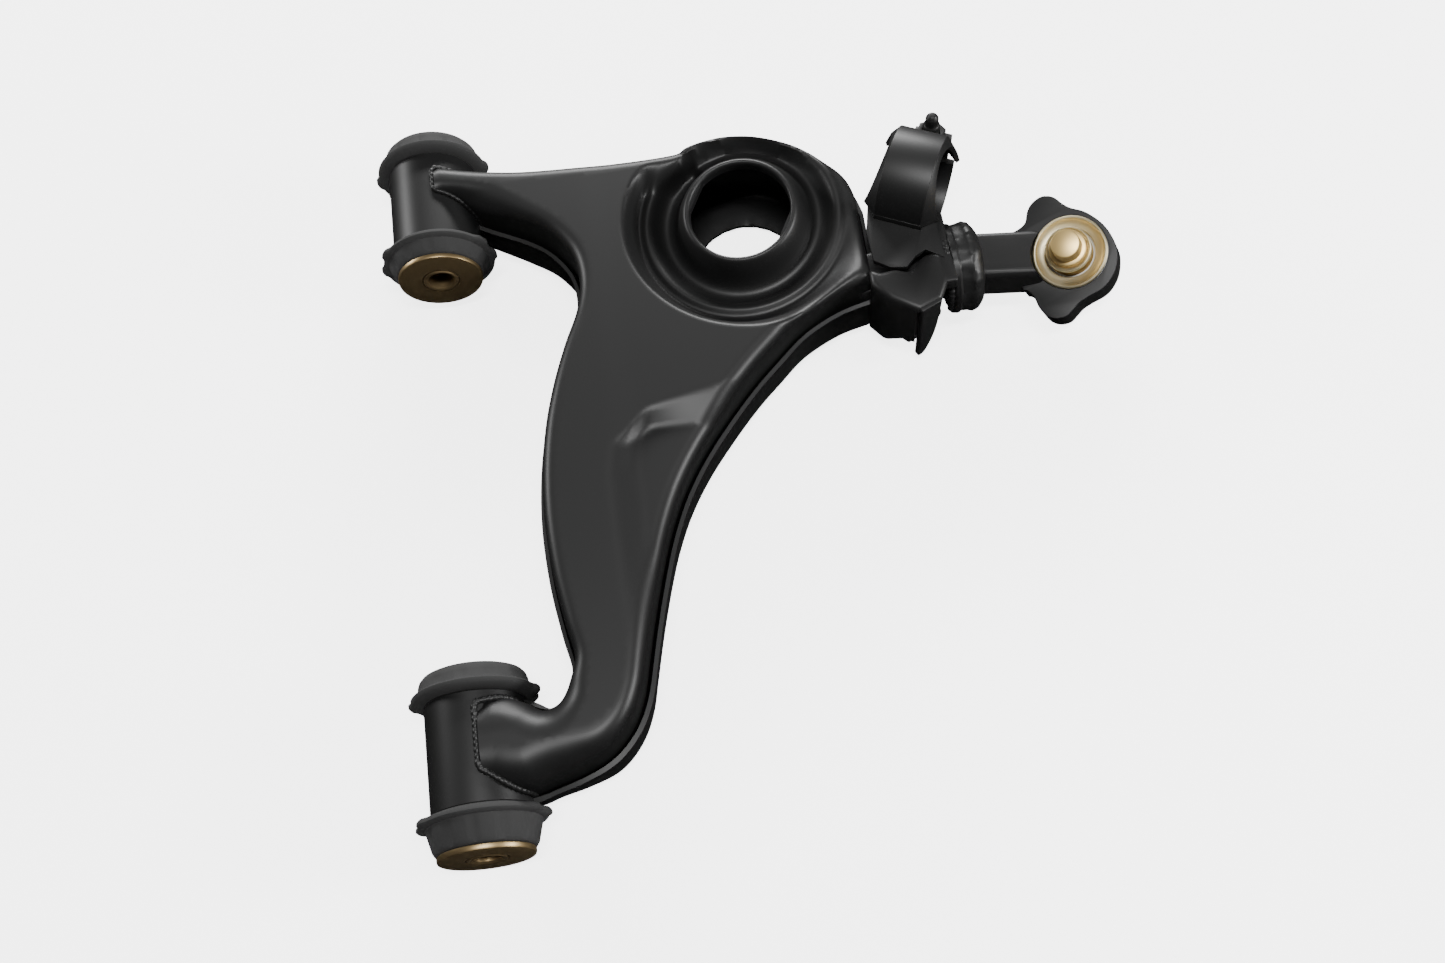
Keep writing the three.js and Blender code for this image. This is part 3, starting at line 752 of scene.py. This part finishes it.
def drop_walls(obj, folded, normals, wall_to, draft):
    """Extrudes the folded edges down to the wall's end, in rows that spread by the draft and end in a lip."""
    body = bmesh.new()
    body.from_mesh(obj.data)
    loose = [v for v in body.verts if not v.link_faces]
    bmesh.ops.delete(body, geom=loose, context="VERTS")
    marks = {(round(x, 2), round(y, 2)): Vector((*normal, 0)) for (x, y), normal in zip(folded, normals)}
    on_fold = {v for v in body.verts if (round(v.co.x, 2), round(v.co.y, 2)) in marks}
    edges = [e for e in body.edges if e.is_boundary and sum(v in on_fold for v in e.verts) >= 1
             and all(v in on_fold or v.co.x < 5.2 for v in e.verts)
             and (e.verts[0].co.x > 5.2 or e.verts[1].co.x > 5.2)]
    steps = ((0.5, draft * 0.5), (0.85, draft * 0.35), (1, draft * 0.15 + (0.7 if draft else 0)))
    start = {(round(v.co.x, 2), round(v.co.y, 2)): v.co.z for e in edges for v in e.verts}
    place = {key: key for key in start}
    for share, spread in steps:
        made = bmesh.ops.extrude_edge_only(body, edges=edges)["geom"]
        edges = [g for g in made if isinstance(g, bmesh.types.BMEdge)]
        moved = {}
        for vertex in {v for e in edges for v in e.verts}:
            origin = place[(round(vertex.co.x, 2), round(vertex.co.y, 2))]
            vertex.co += marks.get(origin, Vector()) * spread
            vertex.co.z = start[origin] + (wall_to - start[origin]) * share
            moved[(round(vertex.co.x, 2), round(vertex.co.y, 2))] = origin
        place = moved
    body.to_mesh(obj.data)
    body.free()


def neck_wall(obj, depth):
    """Turns the neck's rim down inside, as a rolled edge."""
    body = bmesh.new()
    body.from_mesh(obj.data)
    turn = facing(SEAT_UP, SEAT).inverted()
    edges = [e for e in body.edges if e.is_boundary
             and all(abs(math.hypot(*(turn @ v.co)[:2]) - NECK_R) < 0.3 for v in e.verts)]
    for step in (0.3, 0.7):
        made = bmesh.ops.extrude_edge_only(body, edges=edges)["geom"]
        edges = [g for g in made if isinstance(g, bmesh.types.BMEdge)]
        for vertex in {v for e in edges for v in e.verts}:
            vertex.co -= SEAT_UP * depth * step
    body.to_mesh(obj.data)
    body.free()


def tube_cutters(obj):
    for name in ("front", "rear"):
        low, high = (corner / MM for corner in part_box(name + "_eye_tube"))
        base = ORIGIN.y / MM
        cutter = put(rod("cutter", TUBE_R + 0.15, low.y - base - 30, high.y - base + 30, 96), ALONG_Y)
        cut(obj, cutter)


def shell_sizes():
    sizes = bpy.context.scene.shell_sizes
    return {key: getattr(sizes, key) / MM for key in ("sheet", "fold", "step", "helix", "mesh")}


class MakeUpperShell(bpy.types.Operator):
    """Upper pressed shell with the spring seat and the step across the leg"""
    bl_idname = "control_arm.upper_shell"
    bl_label = "Upper shell"

    def execute(self, context):
        sizes = shell_sizes()
        outline, folded = body_outline(1.7)
        starts = outline[folded]
        ends = np.roll(outline, -1, 0)[folded]

        def clear(points):
            return inside(points, outline) & (distance_to(points, starts, ends) > sizes["fold"] + 0.5)

        extra = polar_points(clear, sizes, PLATE_TOP)
        shell = tray("upper_shell_pressing", outline, folded,
                     lambda x, y: upper_height(x, y, PLATE_TOP, sizes), sizes, UPPER_WALL_END, extra)
        neck_wall(shell, 4)
        finish(shell, "SOLIDIFY", thickness=sizes["sheet"], offset=-1, use_even_offset=True,
               thickness_clamp=0.9)
        tube_cutters(shell)
        settle(shell, "arm", "arm_paint", ["upper_shell"], 45)
        return {"FINISHED"}


class MakeLowerShell(bpy.types.Operator):
    """Lower pressed shell that nests round the upper one"""
    bl_idname = "control_arm.lower_shell"
    bl_label = "Lower shell"

    def execute(self, context):
        sizes = shell_sizes()
        sizes["mesh"] = 4.5
        sizes["fold"] += 1
        outline, folded = body_outline(1.7)
        draft = 1.0
        spread = sizes["sheet"] + 0.3 - draft
        outline = outline + outwards(outline) * spread * np.where(folded, 1, 0)[:, None]
        shell = tray("lower_shell_pressing", outline, folded,
                     lambda x, y: np.full(len(x), PLATE_TOP), sizes, LOWER_WALL_END,
                     holes=[(np.array(LOWER_HOLE), LOWER_HOLE_R)], draft=draft)
        finish(shell, "SOLIDIFY", thickness=sizes["sheet"], offset=-1, use_even_offset=True,
               thickness_clamp=0.9)
        put(shell, Matrix.Scale(-1, 4, Vector((0, 0, 1))))
        shell.data.flip_normals()
        tube_cutters(shell)
        settle(shell, "arm", "arm_paint", ["lower_shell"], 45)
        return {"FINISHED"}


# ---- bushes ---------------------------------------------------------------------------------------

BUSHES = {
    "front": {"start": 0, "end": 74, "tube": (13.8, 60.2)},
    "rear": {"start": -275, "end": -197.4, "tube": (-256.6, -210.2)},
}


def eye_tube(name, tube):
    low, high = tube
    wall = [(18, low), (TUBE_R - 0.5, low), (TUBE_R, low + 0.6), (TUBE_R, high - 0.6), (TUBE_R - 0.5, high),
            (18, high)]
    return put(turned(name, wall, 128), ALONG_Y)


def rubber_half(name, reach, lip, cupped):
    """One moulded half from its washer inwards: cone or domed barrel, lip, and a band in the tube's end."""
    end = [(8.7, 0), (19.6, 0), (20.5, 0.5), (21.5, 2.0), (23.4, reach - 6.0)]
    if cupped:
        end = [(8.7, 0), (17.7, 0), (17.7, -2.2), (18.2, -2.6), (19.6, -2.5), (21.2, -1.8), (22.4, -0.4),
               (23.0, 1.4), (23.3, reach - 5.6)]
    profile = end + [(23.8, reach - 4.6), (24.6, reach - 4.3), (25.7, reach - 3.9), (lip, reach - 3.3),
                     (lip - 0.1, reach - 2.2), (lip - 0.9, reach - 1.3), (23.8, reach - 0.7),
                     (22.4, reach - 0.2),
                     (17.7, reach - 0.2), (17.7, reach + 20), (8.7, reach + 20)]
    obj = turned(name, profile, 128)
    mould_marks(obj, reach)
    return obj


def mould_marks(obj, reach):
    """Lumps on the lip at both sides and shallow steps in the cone, pulled out of the lathe shape."""
    for vertex in obj.data.vertices:
        x, y, z = vertex.co
        radius, angle = math.hypot(x, y), math.atan2(y, x)
        out = 0.0
        for place in (0.0, math.pi, -2.6, -0.5):
            off = abs((angle - place + math.pi) % math.tau - math.pi)
            if radius > 24.5 and off < 0.16:
                out = max(out, 1.5 * (1 - (off / 0.16) ** 4))
        if 20.6 < radius < 24.2 and 1 < z < reach - 5 and math.cos(angle * 12) > 0.55:
            out -= 0.45
        if out:
            scale = (radius + out) / radius
            vertex.co.x *= scale
            vertex.co.y *= scale
    obj.data.update()


def end_washer(name, disc):
    profile = [(8.7, 0.4), (9.2, 0), (disc - 0.9, 0), (disc - 0.25, 0.3), (disc, 0.9), (disc, 2.2),
               (disc - 0.3, 2.5), (8.7, 2.5)]
    return turned(name, profile, 128)


def inner_sleeve(name, length, bore):
    end = [(bore, 0.9), (bore + 0.8, 0.1), (bore + 1.0, 0), (7.9, 0), (8.4, 0.5)]
    other = [(radius, length - height) for radius, height in reversed(end)]
    return turned(name, end + other, 96)


class MakeBushes(bpy.types.Operator):
    """Both pivot bushes: eye tube, sleeve, two rubber halves and two washers each"""
    bl_idname = "control_arm.bushes"
    bl_label = "Pivot bushes"

    def execute(self, context):
        sizes = context.scene.bush_sizes
        lip, bore, disc = (value / MM for value in (sizes.lip, sizes.bore, sizes.disc))
        for name, bush in BUSHES.items():
            start, end, tube = bush["start"], bush["end"], bush["tube"]
            core = name + "_bush_core"
            settle(eye_tube(name + "_tube", tube), "arm", "arm_paint", [name + "_eye_tube"])
            sleeve = put(inner_sleeve(name + "_sleeve", end - start, bore), ALONG_Y)
            put(sleeve, Matrix.Translation((0, start, 0)))
            settle(sleeve, core, "plated_zinc", [name + "_inner_sleeve"])
            halves = (("rear", start, tube[0] - start, 1), ("front", end, end - tube[1], -1))
            for side, face, reach, way in halves:
                flip = Matrix.Rotation(math.pi if way < 0 else 0, 4, "X")
                half = rubber_half(f"{name}_{side}_rubber", reach - RUBBER_INSET, lip, way < 0)
                rubber = put(half, flip @ ALONG_Y)
                put(rubber, Matrix.Translation((0, face + way * RUBBER_INSET, 0)))
                settle(rubber, "arm", "bush_rubber", [f"{name}_rubber_{side}"], 38)
                radius = disc if way > 0 else HIDDEN_DISC_R
                washer = put(end_washer(f"{name}_{side}_end_washer", radius), flip @ ALONG_Y)
                put(washer, Matrix.Translation((0, face + way * WASHER_INSET, 0)))
                settle(washer, core, "plated_zinc", [f"{name}_washer_{side}"])
        return {"FINISHED"}


# ---- bar bracket and clamp ------------------------------------------------------------------------

def refined(node, name, width, angle=28):
    """A frame node's own shape, merged, with its flat faces whole and its edges rounded."""
    source = frame["nodes"][node]
    obj = bpy.data.objects.new(name, source.data.copy())
    bpy.context.scene.collection.objects.link(obj)
    put(obj, Matrix.Scale(1 / MM, 4) @ Matrix.Translation(-ORIGIN))
    pick(obj)
    bpy.ops.object.mode_set(mode="EDIT")
    bpy.ops.mesh.select_all(action="SELECT")
    bpy.ops.mesh.remove_doubles(threshold=0.01)
    bpy.ops.mesh.customdata_custom_splitnormals_clear()
    bpy.ops.mesh.dissolve_limited(angle_limit=math.radians(1))
    bpy.ops.object.mode_set(mode="OBJECT")
    return soften(obj, width, 3, angle)


GUSSET = [(197.6, -43.2), (202.9, -46.2), (209.3, -45.6), (215.9, -48.2), (223.7, -40.7), (228.2, -40.4),
          (232.5, -42.2), (233, -54), (227.3, -65.6), (216.4, -70.4), (204.4, -61.6), (197.6, -52)]


def folded_gusset(name):
    """Plate over the bracket whose rear edges are folded down, cut short towards the lock stop."""
    gusset = soften(plate(name, GUSSET, -20, 20.5), 3.4, 4, 40)
    room = [(190, -40), (190, -51.2), (199.4, -51.2), (206, -59.6), (214.6, -67.2), (216.6, -74), (240, -74),
            (240, -40)]
    cut(gusset, plate("room", room, -30, 17.8))
    short = plate("short", [(-8, -40), (-8, -20), (8, -18), (19, -9), (40, -7), (40, -40)], -20, 20)
    turn = Matrix.Rotation(math.radians(-44), 4, "Z") @ Matrix.Rotation(math.pi / 2, 4, "X")
    cut(gusset, put(short, Matrix.Translation((198, -52, 0)) @ turn))
    lap = soften(block("lap", (229, -57, 12.5), (236.4, -19, 19.7)), 1.2, 3)
    return combine(gusset, lap)


class MakeBracket(bpy.types.Operator):
    """Bar bracket with its cradle, the two gussets and the lock stop"""
    bl_idname = "control_arm.bracket"
    bl_label = "Bar bracket"

    def execute(self, context):
        for node, width in (("bar_bracket", 0.7), ("lower_gusset", 0.6), ("stop_tab", 0.7)):
            settle(refined(node, node + "_plate", width), "arm", "arm_paint", [node], 40)
        settle(folded_gusset("rear_gusset_plate"), "arm", "arm_paint", ["rear_gusset"], 40)
        return {"FINISHED"}


class MakeBarClamp(bpy.types.Operator):
    """Hooked strap over the anti-roll bar with its bolt, nut and washer"""
    bl_idname = "control_arm.bar_clamp"
    bl_label = "Bar clamp"

    def execute(self, context):
        for node, width in (("bar_clamp_strap", 0.6), ("clamp_bolt", 0.5), ("clamp_nut", 0.5),
                            ("clamp_washer", 0.3)):
            settle(refined(node, node + "_piece", width), "arm", "arm_paint", [node], 40)
        return {"FINISHED"}


# ---- outer forging --------------------------------------------------------------------------------

EYE_EDGE = [(-24, 15.5), (-20, 16.8), (-17.2, 19), (-15.6, 23.4), (-12.8, 26.8), (-8.5, 28.8), (-4.9, 28.4),
            (-1.9, 26.6), (0.8, 23.2), (4, 20.4), (9.6, 17.2), (14.9, 11.9), (18.4, 6.1), (20.5, -1.1),
            (20.2, -6.6), (18.2, -12.6), (14.7, -17.3), (10.6, -20.2), (4.3, -22.2), (-0.2, -24),
            (-3.4, -26.4), (-7.1, -28.8), (-11.7, -28.8), (-15.5, -26.6), (-18.3, -22), (-19.6, -16.9),
            (-21.8, -13.2), (-24, -12.2)]


def hammered(obj, height, size):
    """Uneven skin of a forging: each point is moved along its normal by a cloud texture."""
    cloud = bpy.data.textures.new("hammered", "CLOUDS")
    cloud.noise_scale = size
    return finish(obj, "DISPLACE", texture=cloud, strength=height, mid_level=0.5, texture_coords="LOCAL")


class MakeForging(bpy.types.Operator):
    """Outer forging: root, collar, neck and the ball joint's eye"""
    bl_idname = "control_arm.forging"
    bl_label = "Outer forging"

    def execute(self, context):
        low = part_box("outer_forging")[0] / MM
        inner = low.x - ORIGIN.x / MM
        eye = facing(EYE_UP, EYE)
        inboard = block("outer_forging_body", (inner, FORGING_Y - 6, -9), (200, FORGING_Y + 10, 2))
        forging = soften(inboard, 1.5)
        root = soften(block("root", (192, FORGING_Y - 11, -9), (240, FORGING_Y + 11, 9)), 2.5, 3)
        combine(forging, root)
        profile = [(19.4, 235.6), (20.6, 236.4), (20.9, 238.5), (19.9, 239.6), (20.2, 243), (20.9, 245.4),
                   (19.8, 248), (17, 250.2), (14, 251)]
        collar = turned("collar", profile, 72, ring=False)
        finish(collar, "SUBSURF", levels=1, subdivision_type="SIMPLE")
        hammered(collar, 1.3, 5.5)
        combine(forging, put(collar, Matrix.Translation((0, FORGING_Y, 0)) @ ALONG_X))
        neck = soften(block("neck", (0, -11.6, -9.6), (41, 12.4, 9.6)), 3.2, 4)
        turn = Matrix.Rotation(math.atan2(-5.5, 40), 4, "Z")
        combine(forging, put(neck, Matrix.Translation((240, -37.5, 0)) @ turn))
        lug = plate("lug", smooth_through(EYE_EDGE, 4)[::-1], -19.8, -1.3)
        combine(forging, put(soften(lug, 2.2, 4, 50), eye))
        cut(forging, put(rod("bore", EYE_BORE_R, -60, 40, 96), eye))
        settle(forging, "arm", "arm_paint", ["outer_forging"], 40)
        return {"FINISHED"}


# ---- ball joint -----------------------------------------------------------------------------------

def joint_piece(name, profile, body, slot, node, ring=True, segments=128):
    obj = put(turned(name, profile, segments, ring), facing(EYE_UP, EYE))
    return settle(obj, body, slot, [node])


def ball_profile():
    arc = [math.radians(-72 + 112 * k / 16) for k in range(17)]
    ball = [(BALL_R * math.cos(a), BALL_DROP + BALL_R * math.sin(a)) for a in arc]
    return ball + [(8.4, 0), (8.4, 8.4), (8.2, 8.9), (7.6, 9.1), (6.7, 9.2), (6.5, 9.6), (6.5, 17.4),
                   (6.3, 17.8), (5.8, 18)]


class MakeBallJoint(bpy.types.Operator):
    """Ball joint: housing, cover, rimmed plate, stud with its ring"""
    bl_idname = "control_arm.ball_joint"
    bl_label = "Ball joint"

    def execute(self, context):
        plate_profile = [(11.4, -3.3), (14.6, -3.3), (16.6, -2.4), (17, -1.6), (17, -0.8), (16.6, -0.2),
                         (16.1, 0), (15.6, -0.2), (15.3, -0.7), (14.8, -1.2), (13, -1.9), (11.7, -2.2),
                         (11.4, -2.5)]
        joint_piece("joint_plate", plate_profile, "arm", "yellow_chromate", "boot_plate")
        ring_profile = [(8.7, 3.4), (10.1, 3.4), (10.4, 3.8), (10.4, 5.5), (10.1, 6.0), (9.8, 6.1),
                        (9.4, 5.8), (9.2, 5.2), (8.9, 5.1), (8.7, 5.0)]
        joint_piece("stud_ring", ring_profile, "stud_collar", "yellow_chromate", "stud_collar")
        joint_piece("stud", ball_profile(), "ball_stud", "turned_stud", "ball_stud", ring=False)
        cover = [(15.2, -24.4), (15.7, -24.0), (15.7, -22.6), (15.4, -22.3)]
        joint_piece("joint_end_cover", cover, "arm", "bare_steel", "end_cover", ring=False)
        housing = [(17, -3.6), (17, -20.2), (19.3, -20.2), (19.6, -20.6), (19.6, -23.9), (19.1, -24.4),
                   (16.3, -24.4), (16, -24), (16, -21.6), (13.9, -21.6), (13.9, -9), (13.4, -5.4),
                   (12.9, -3.6)]
        joint_piece("joint_housing", housing, "arm", "bare_steel", "ball_joint_housing")
        return {"FINISHED"}


# ---- welds ----------------------------------------------------------------------------------------

def weld_bead(name, path, radius):
    """A rippled bead along a path: a ring of points carried along, swelling at each ripple."""
    path = evenly(path, 0.55)
    rings = 12
    tangent = np.gradient(path, axis=0)
    tangent /= np.linalg.norm(tangent, axis=1)[:, None]
    points = []
    for k, (place, ahead) in enumerate(zip(path, tangent)):
        side = np.cross(ahead, (0.31, 0.2, 0.93))
        side /= np.linalg.norm(side)
        up = np.cross(side, ahead)
        ends = min(1.0, (min(k, len(path) - 1 - k) + 0.6) / 3)
        swell = radius * math.sqrt(ends) * (1 + 0.13 * math.sin(k * 1.35) + 0.05 * math.sin(k * 0.31))
        for turn in range(rings):
            angle = turn / rings * math.tau
            points.append(place + swell * (side * math.cos(angle) + up * math.sin(angle)))
    faces = [[i * rings + j, i * rings + (j + 1) % rings, (i + 1) * rings + (j + 1) % rings,
              (i + 1) * rings + j]
             for i in range(len(path) - 1) for j in range(rings)]
    last = (len(path) - 1) * rings
    faces += [list(range(rings))[::-1], list(range(last, last + rings))]
    data = bpy.data.meshes.new(name)
    data.from_pydata([p.tolist() for p in points], [], faces)
    obj = bpy.data.objects.new(name, data)
    bpy.context.scene.collection.objects.link(obj)
    return close_up(obj)


def tongue_weld(name, top_edge, low_edge, radius, fold=6):
    """Bead round a shell's tongue where it lies on its tube: down one side, across the end, then back."""
    def side(edge, inwards):
        line = smooth_through(edge, 8)
        angles = np.radians(np.arange(12, 98, 3))
        x, z = TUBE_R * np.sin(angles), TUBE_R * np.cos(angles)
        y = np.interp(x, line[:, 0], line[:, 1])
        bend = fold_radius(x, y, fold)
        over = np.clip(bend - (PLATE_TOP - z), 0, bend)
        y = y + inwards * (bend - np.sqrt(bend ** 2 - over ** 2))
        return np.column_stack([x + 0.6, y, z + 0.8])
    first, last = side(top_edge, -1), side(low_edge, 1)
    corner = [first[0] + (-1.2, -2, 0.4), last[0] + (-1.2, 2, 0.4)]
    return weld_bead(name, np.concatenate([first[::-1], corner, last]), radius)


class MakeWelds(bpy.types.Operator):
    """Weld beads round the tongues on both tubes and round the forging's collar"""
    bl_idname = "control_arm.welds"
    bl_label = "Welds"

    def execute(self, context):
        front = tongue_weld("front_tongue_weld", FRONT_EDGE[:4], INNER_EDGE[-1:-5:-1], 1.1)
        settle(front, "arm", "arm_paint", angle=60)
        rear = tongue_weld("rear_tongue_weld", INNER_EDGE[:4], OUTER_EDGE[-1:-6:-1], 1.3)
        settle(rear, "arm", "arm_paint", angle=60)
        angles = np.linspace(-0.9, math.pi + 0.3, 60)
        ring = [(234.6, FORGING_Y + COLLAR_WELD_R * math.cos(a), COLLAR_WELD_R * math.sin(a)) for a in angles]
        settle(weld_bead("collar_weld", ring, 1.5), "arm", "arm_paint", angle=60)
        return {"FINISHED"}


# ---- materials and stage ---------------------------------------------------------------------------

class MakeMaterials(bpy.types.Operator):
    """All finishes, and those of the nodes that are shown as they are"""
    bl_idname = "control_arm.materials"
    bl_label = "Materials"

    def execute(self, context):
        colours = context.scene.finish_colours
        grain_group()
        wear_group()
        dust_group()
        paint_material(tuple(colours.paint))
        rubber_material(tuple(colours.rubber))
        plated_material("plated_zinc", tuple(colours.zinc), 0.2, 0.42)
        plated_material("bare_steel", (0.42, 0.42, 0.43), 0.9, 0.36, 60.0)
        chromate_material(tuple(colours.chromate))
        stud_material(tuple(colours.stud))
        resin_material()
        slots = {part["node"]: part["material_slot"] for part in frame["record"]["subparts"]}
        for node, obj in frame["nodes"].items():
            obj.data.materials.clear()
            obj.data.materials.append(bpy.data.materials[slots[node]])
        return {"FINISHED"}


def soft_box(name, place, size, power, colour=(1, 1, 1)):
    """A square area light that looks at the middle of the part."""
    light = bpy.data.lights.new(name, "AREA")
    light.shape = "RECTANGLE"
    light.size, light.size_y = size
    light.energy = power
    light.color = colour
    obj = bpy.data.objects.new(name, light)
    bpy.context.scene.collection.objects.link(obj)
    obj.location = place
    obj.rotation_euler = (Vector((0, 0, 0.02)) - Vector(place)).to_track_quat("-Z", "Y").to_euler()
    return obj


class SetStage(bpy.types.Operator):
    """Pale floor that glossy rays see as dark, soft boxes and the camera"""
    bl_idname = "control_arm.stage"
    bl_label = "Stage"

    def execute(self, context):
        deselect()
        bpy.ops.mesh.primitive_plane_add(size=12, location=(0, 0, -FLOOR_DROP))
        floor = bpy.context.object
        floor.name = "floor"
        surface = Surface("floor", (0.9, 0.9, 0.9), 0.0, 0.9)
        surface.shader.inputs["Specular IOR Level"].default_value = 0.0
        seen_by = surface.tree.nodes.new("ShaderNodeLightPath")
        surface.feed("Base Color", surface.colours(
            seen_by.outputs["Is Glossy Ray"], (0.9, 0.9, 0.9), (0.012, 0.012, 0.012)))
        floor.data.materials.append(surface.material)
        glow = span(surface.tree, seen_by.outputs["Is Camera Ray"], 0, 1, 0.0, 3.5)
        surface.shader.inputs["Emission Color"].default_value = (1, 1, 1, 1)
        surface.feed("Emission Strength", glow)
        soft_box("top_box", (0.05, -0.4, 1.8), (0.7, 0.2), 30)
        soft_box("front_box", (0.1, 1.5, 0.55), (1.1, 0.2), 36)
        soft_box("right_box", (1.35, -0.3, 0.6), (0.5, 0.3), 22)
        soft_box("left_box", (-1.3, 0.8, 0.5), (0.5, 0.2), 12)
        world = bpy.data.worlds.new("studio")
        world.use_nodes = True
        tree = world.node_tree
        ray = tree.nodes.new("ShaderNodeLightPath")
        mix = tree.nodes.new("ShaderNodeMix")
        mix.data_type = "RGBA"
        mix.inputs[6].default_value = (0.12, 0.12, 0.123, 1)
        mix.inputs[7].default_value = (0.008, 0.008, 0.0085, 1)
        tree.links.new(ray.outputs["Is Glossy Ray"], mix.inputs["Factor"])
        tree.links.new(mix.outputs[2], tree.nodes["Background"].inputs["Color"])
        context.scene.world = world
        camera = bpy.data.cameras.new("camera")
        camera.lens = 36.53
        camera.sensor_width = 36
        holder = bpy.data.objects.new("camera", camera)
        context.scene.collection.objects.link(holder)
        holder.location = ORIGIN + Vector((117.05, -397.46, 587.81)) * MM
        holder.rotation_euler = [math.radians(angle) for angle in (24.3828, 3.8681, -8.4656)]
        context.scene.camera = holder
        return {"FINISHED"}


class ControlArmPanel(bpy.types.Panel):
    """Lists the pieces of the control arm"""
    bl_idname = "VIEW3D_PT_control_arm"
    bl_label = "Control Arm"
    bl_space_type = "VIEW_3D"
    bl_region_type = "UI"
    bl_category = "Control Arm"

    def draw(self, context):
        for sizes in (context.scene.shell_sizes, context.scene.bush_sizes, context.scene.finish_colours):
            for key in sizes.__annotations__:
                self.layout.prop(sizes, key)
        for operator in STEPS:
            self.layout.operator(operator.bl_idname)


STEPS = (MakeMaterials, SetStage, MakeUpperShell, MakeLowerShell, MakeBushes, MakeBracket, MakeBarClamp,
         MakeForging, MakeBallJoint, MakeWelds)
GROUPS = {"shell_sizes": ShellSizes, "bush_sizes": BushSizes, "finish_colours": FinishColours}


def register():
    for name, properties in GROUPS.items():
        bpy.utils.register_class(properties)
        setattr(bpy.types.Scene, name, bpy.props.PointerProperty(type=properties))
    for step in STEPS:
        bpy.utils.register_class(step)
    bpy.utils.register_class(ControlArmPanel)


def unregister():
    bpy.utils.unregister_class(ControlArmPanel)
    for step in reversed(STEPS):
        bpy.utils.unregister_class(step)
    for name, properties in GROUPS.items():
        delattr(bpy.types.Scene, name)
        bpy.utils.unregister_class(properties)


def main():
    register()
    for step in STEPS:
        category, name = step.bl_idname.split(".")
        getattr(getattr(bpy.ops, category), name)()


if __name__ == "__main__":
    main()
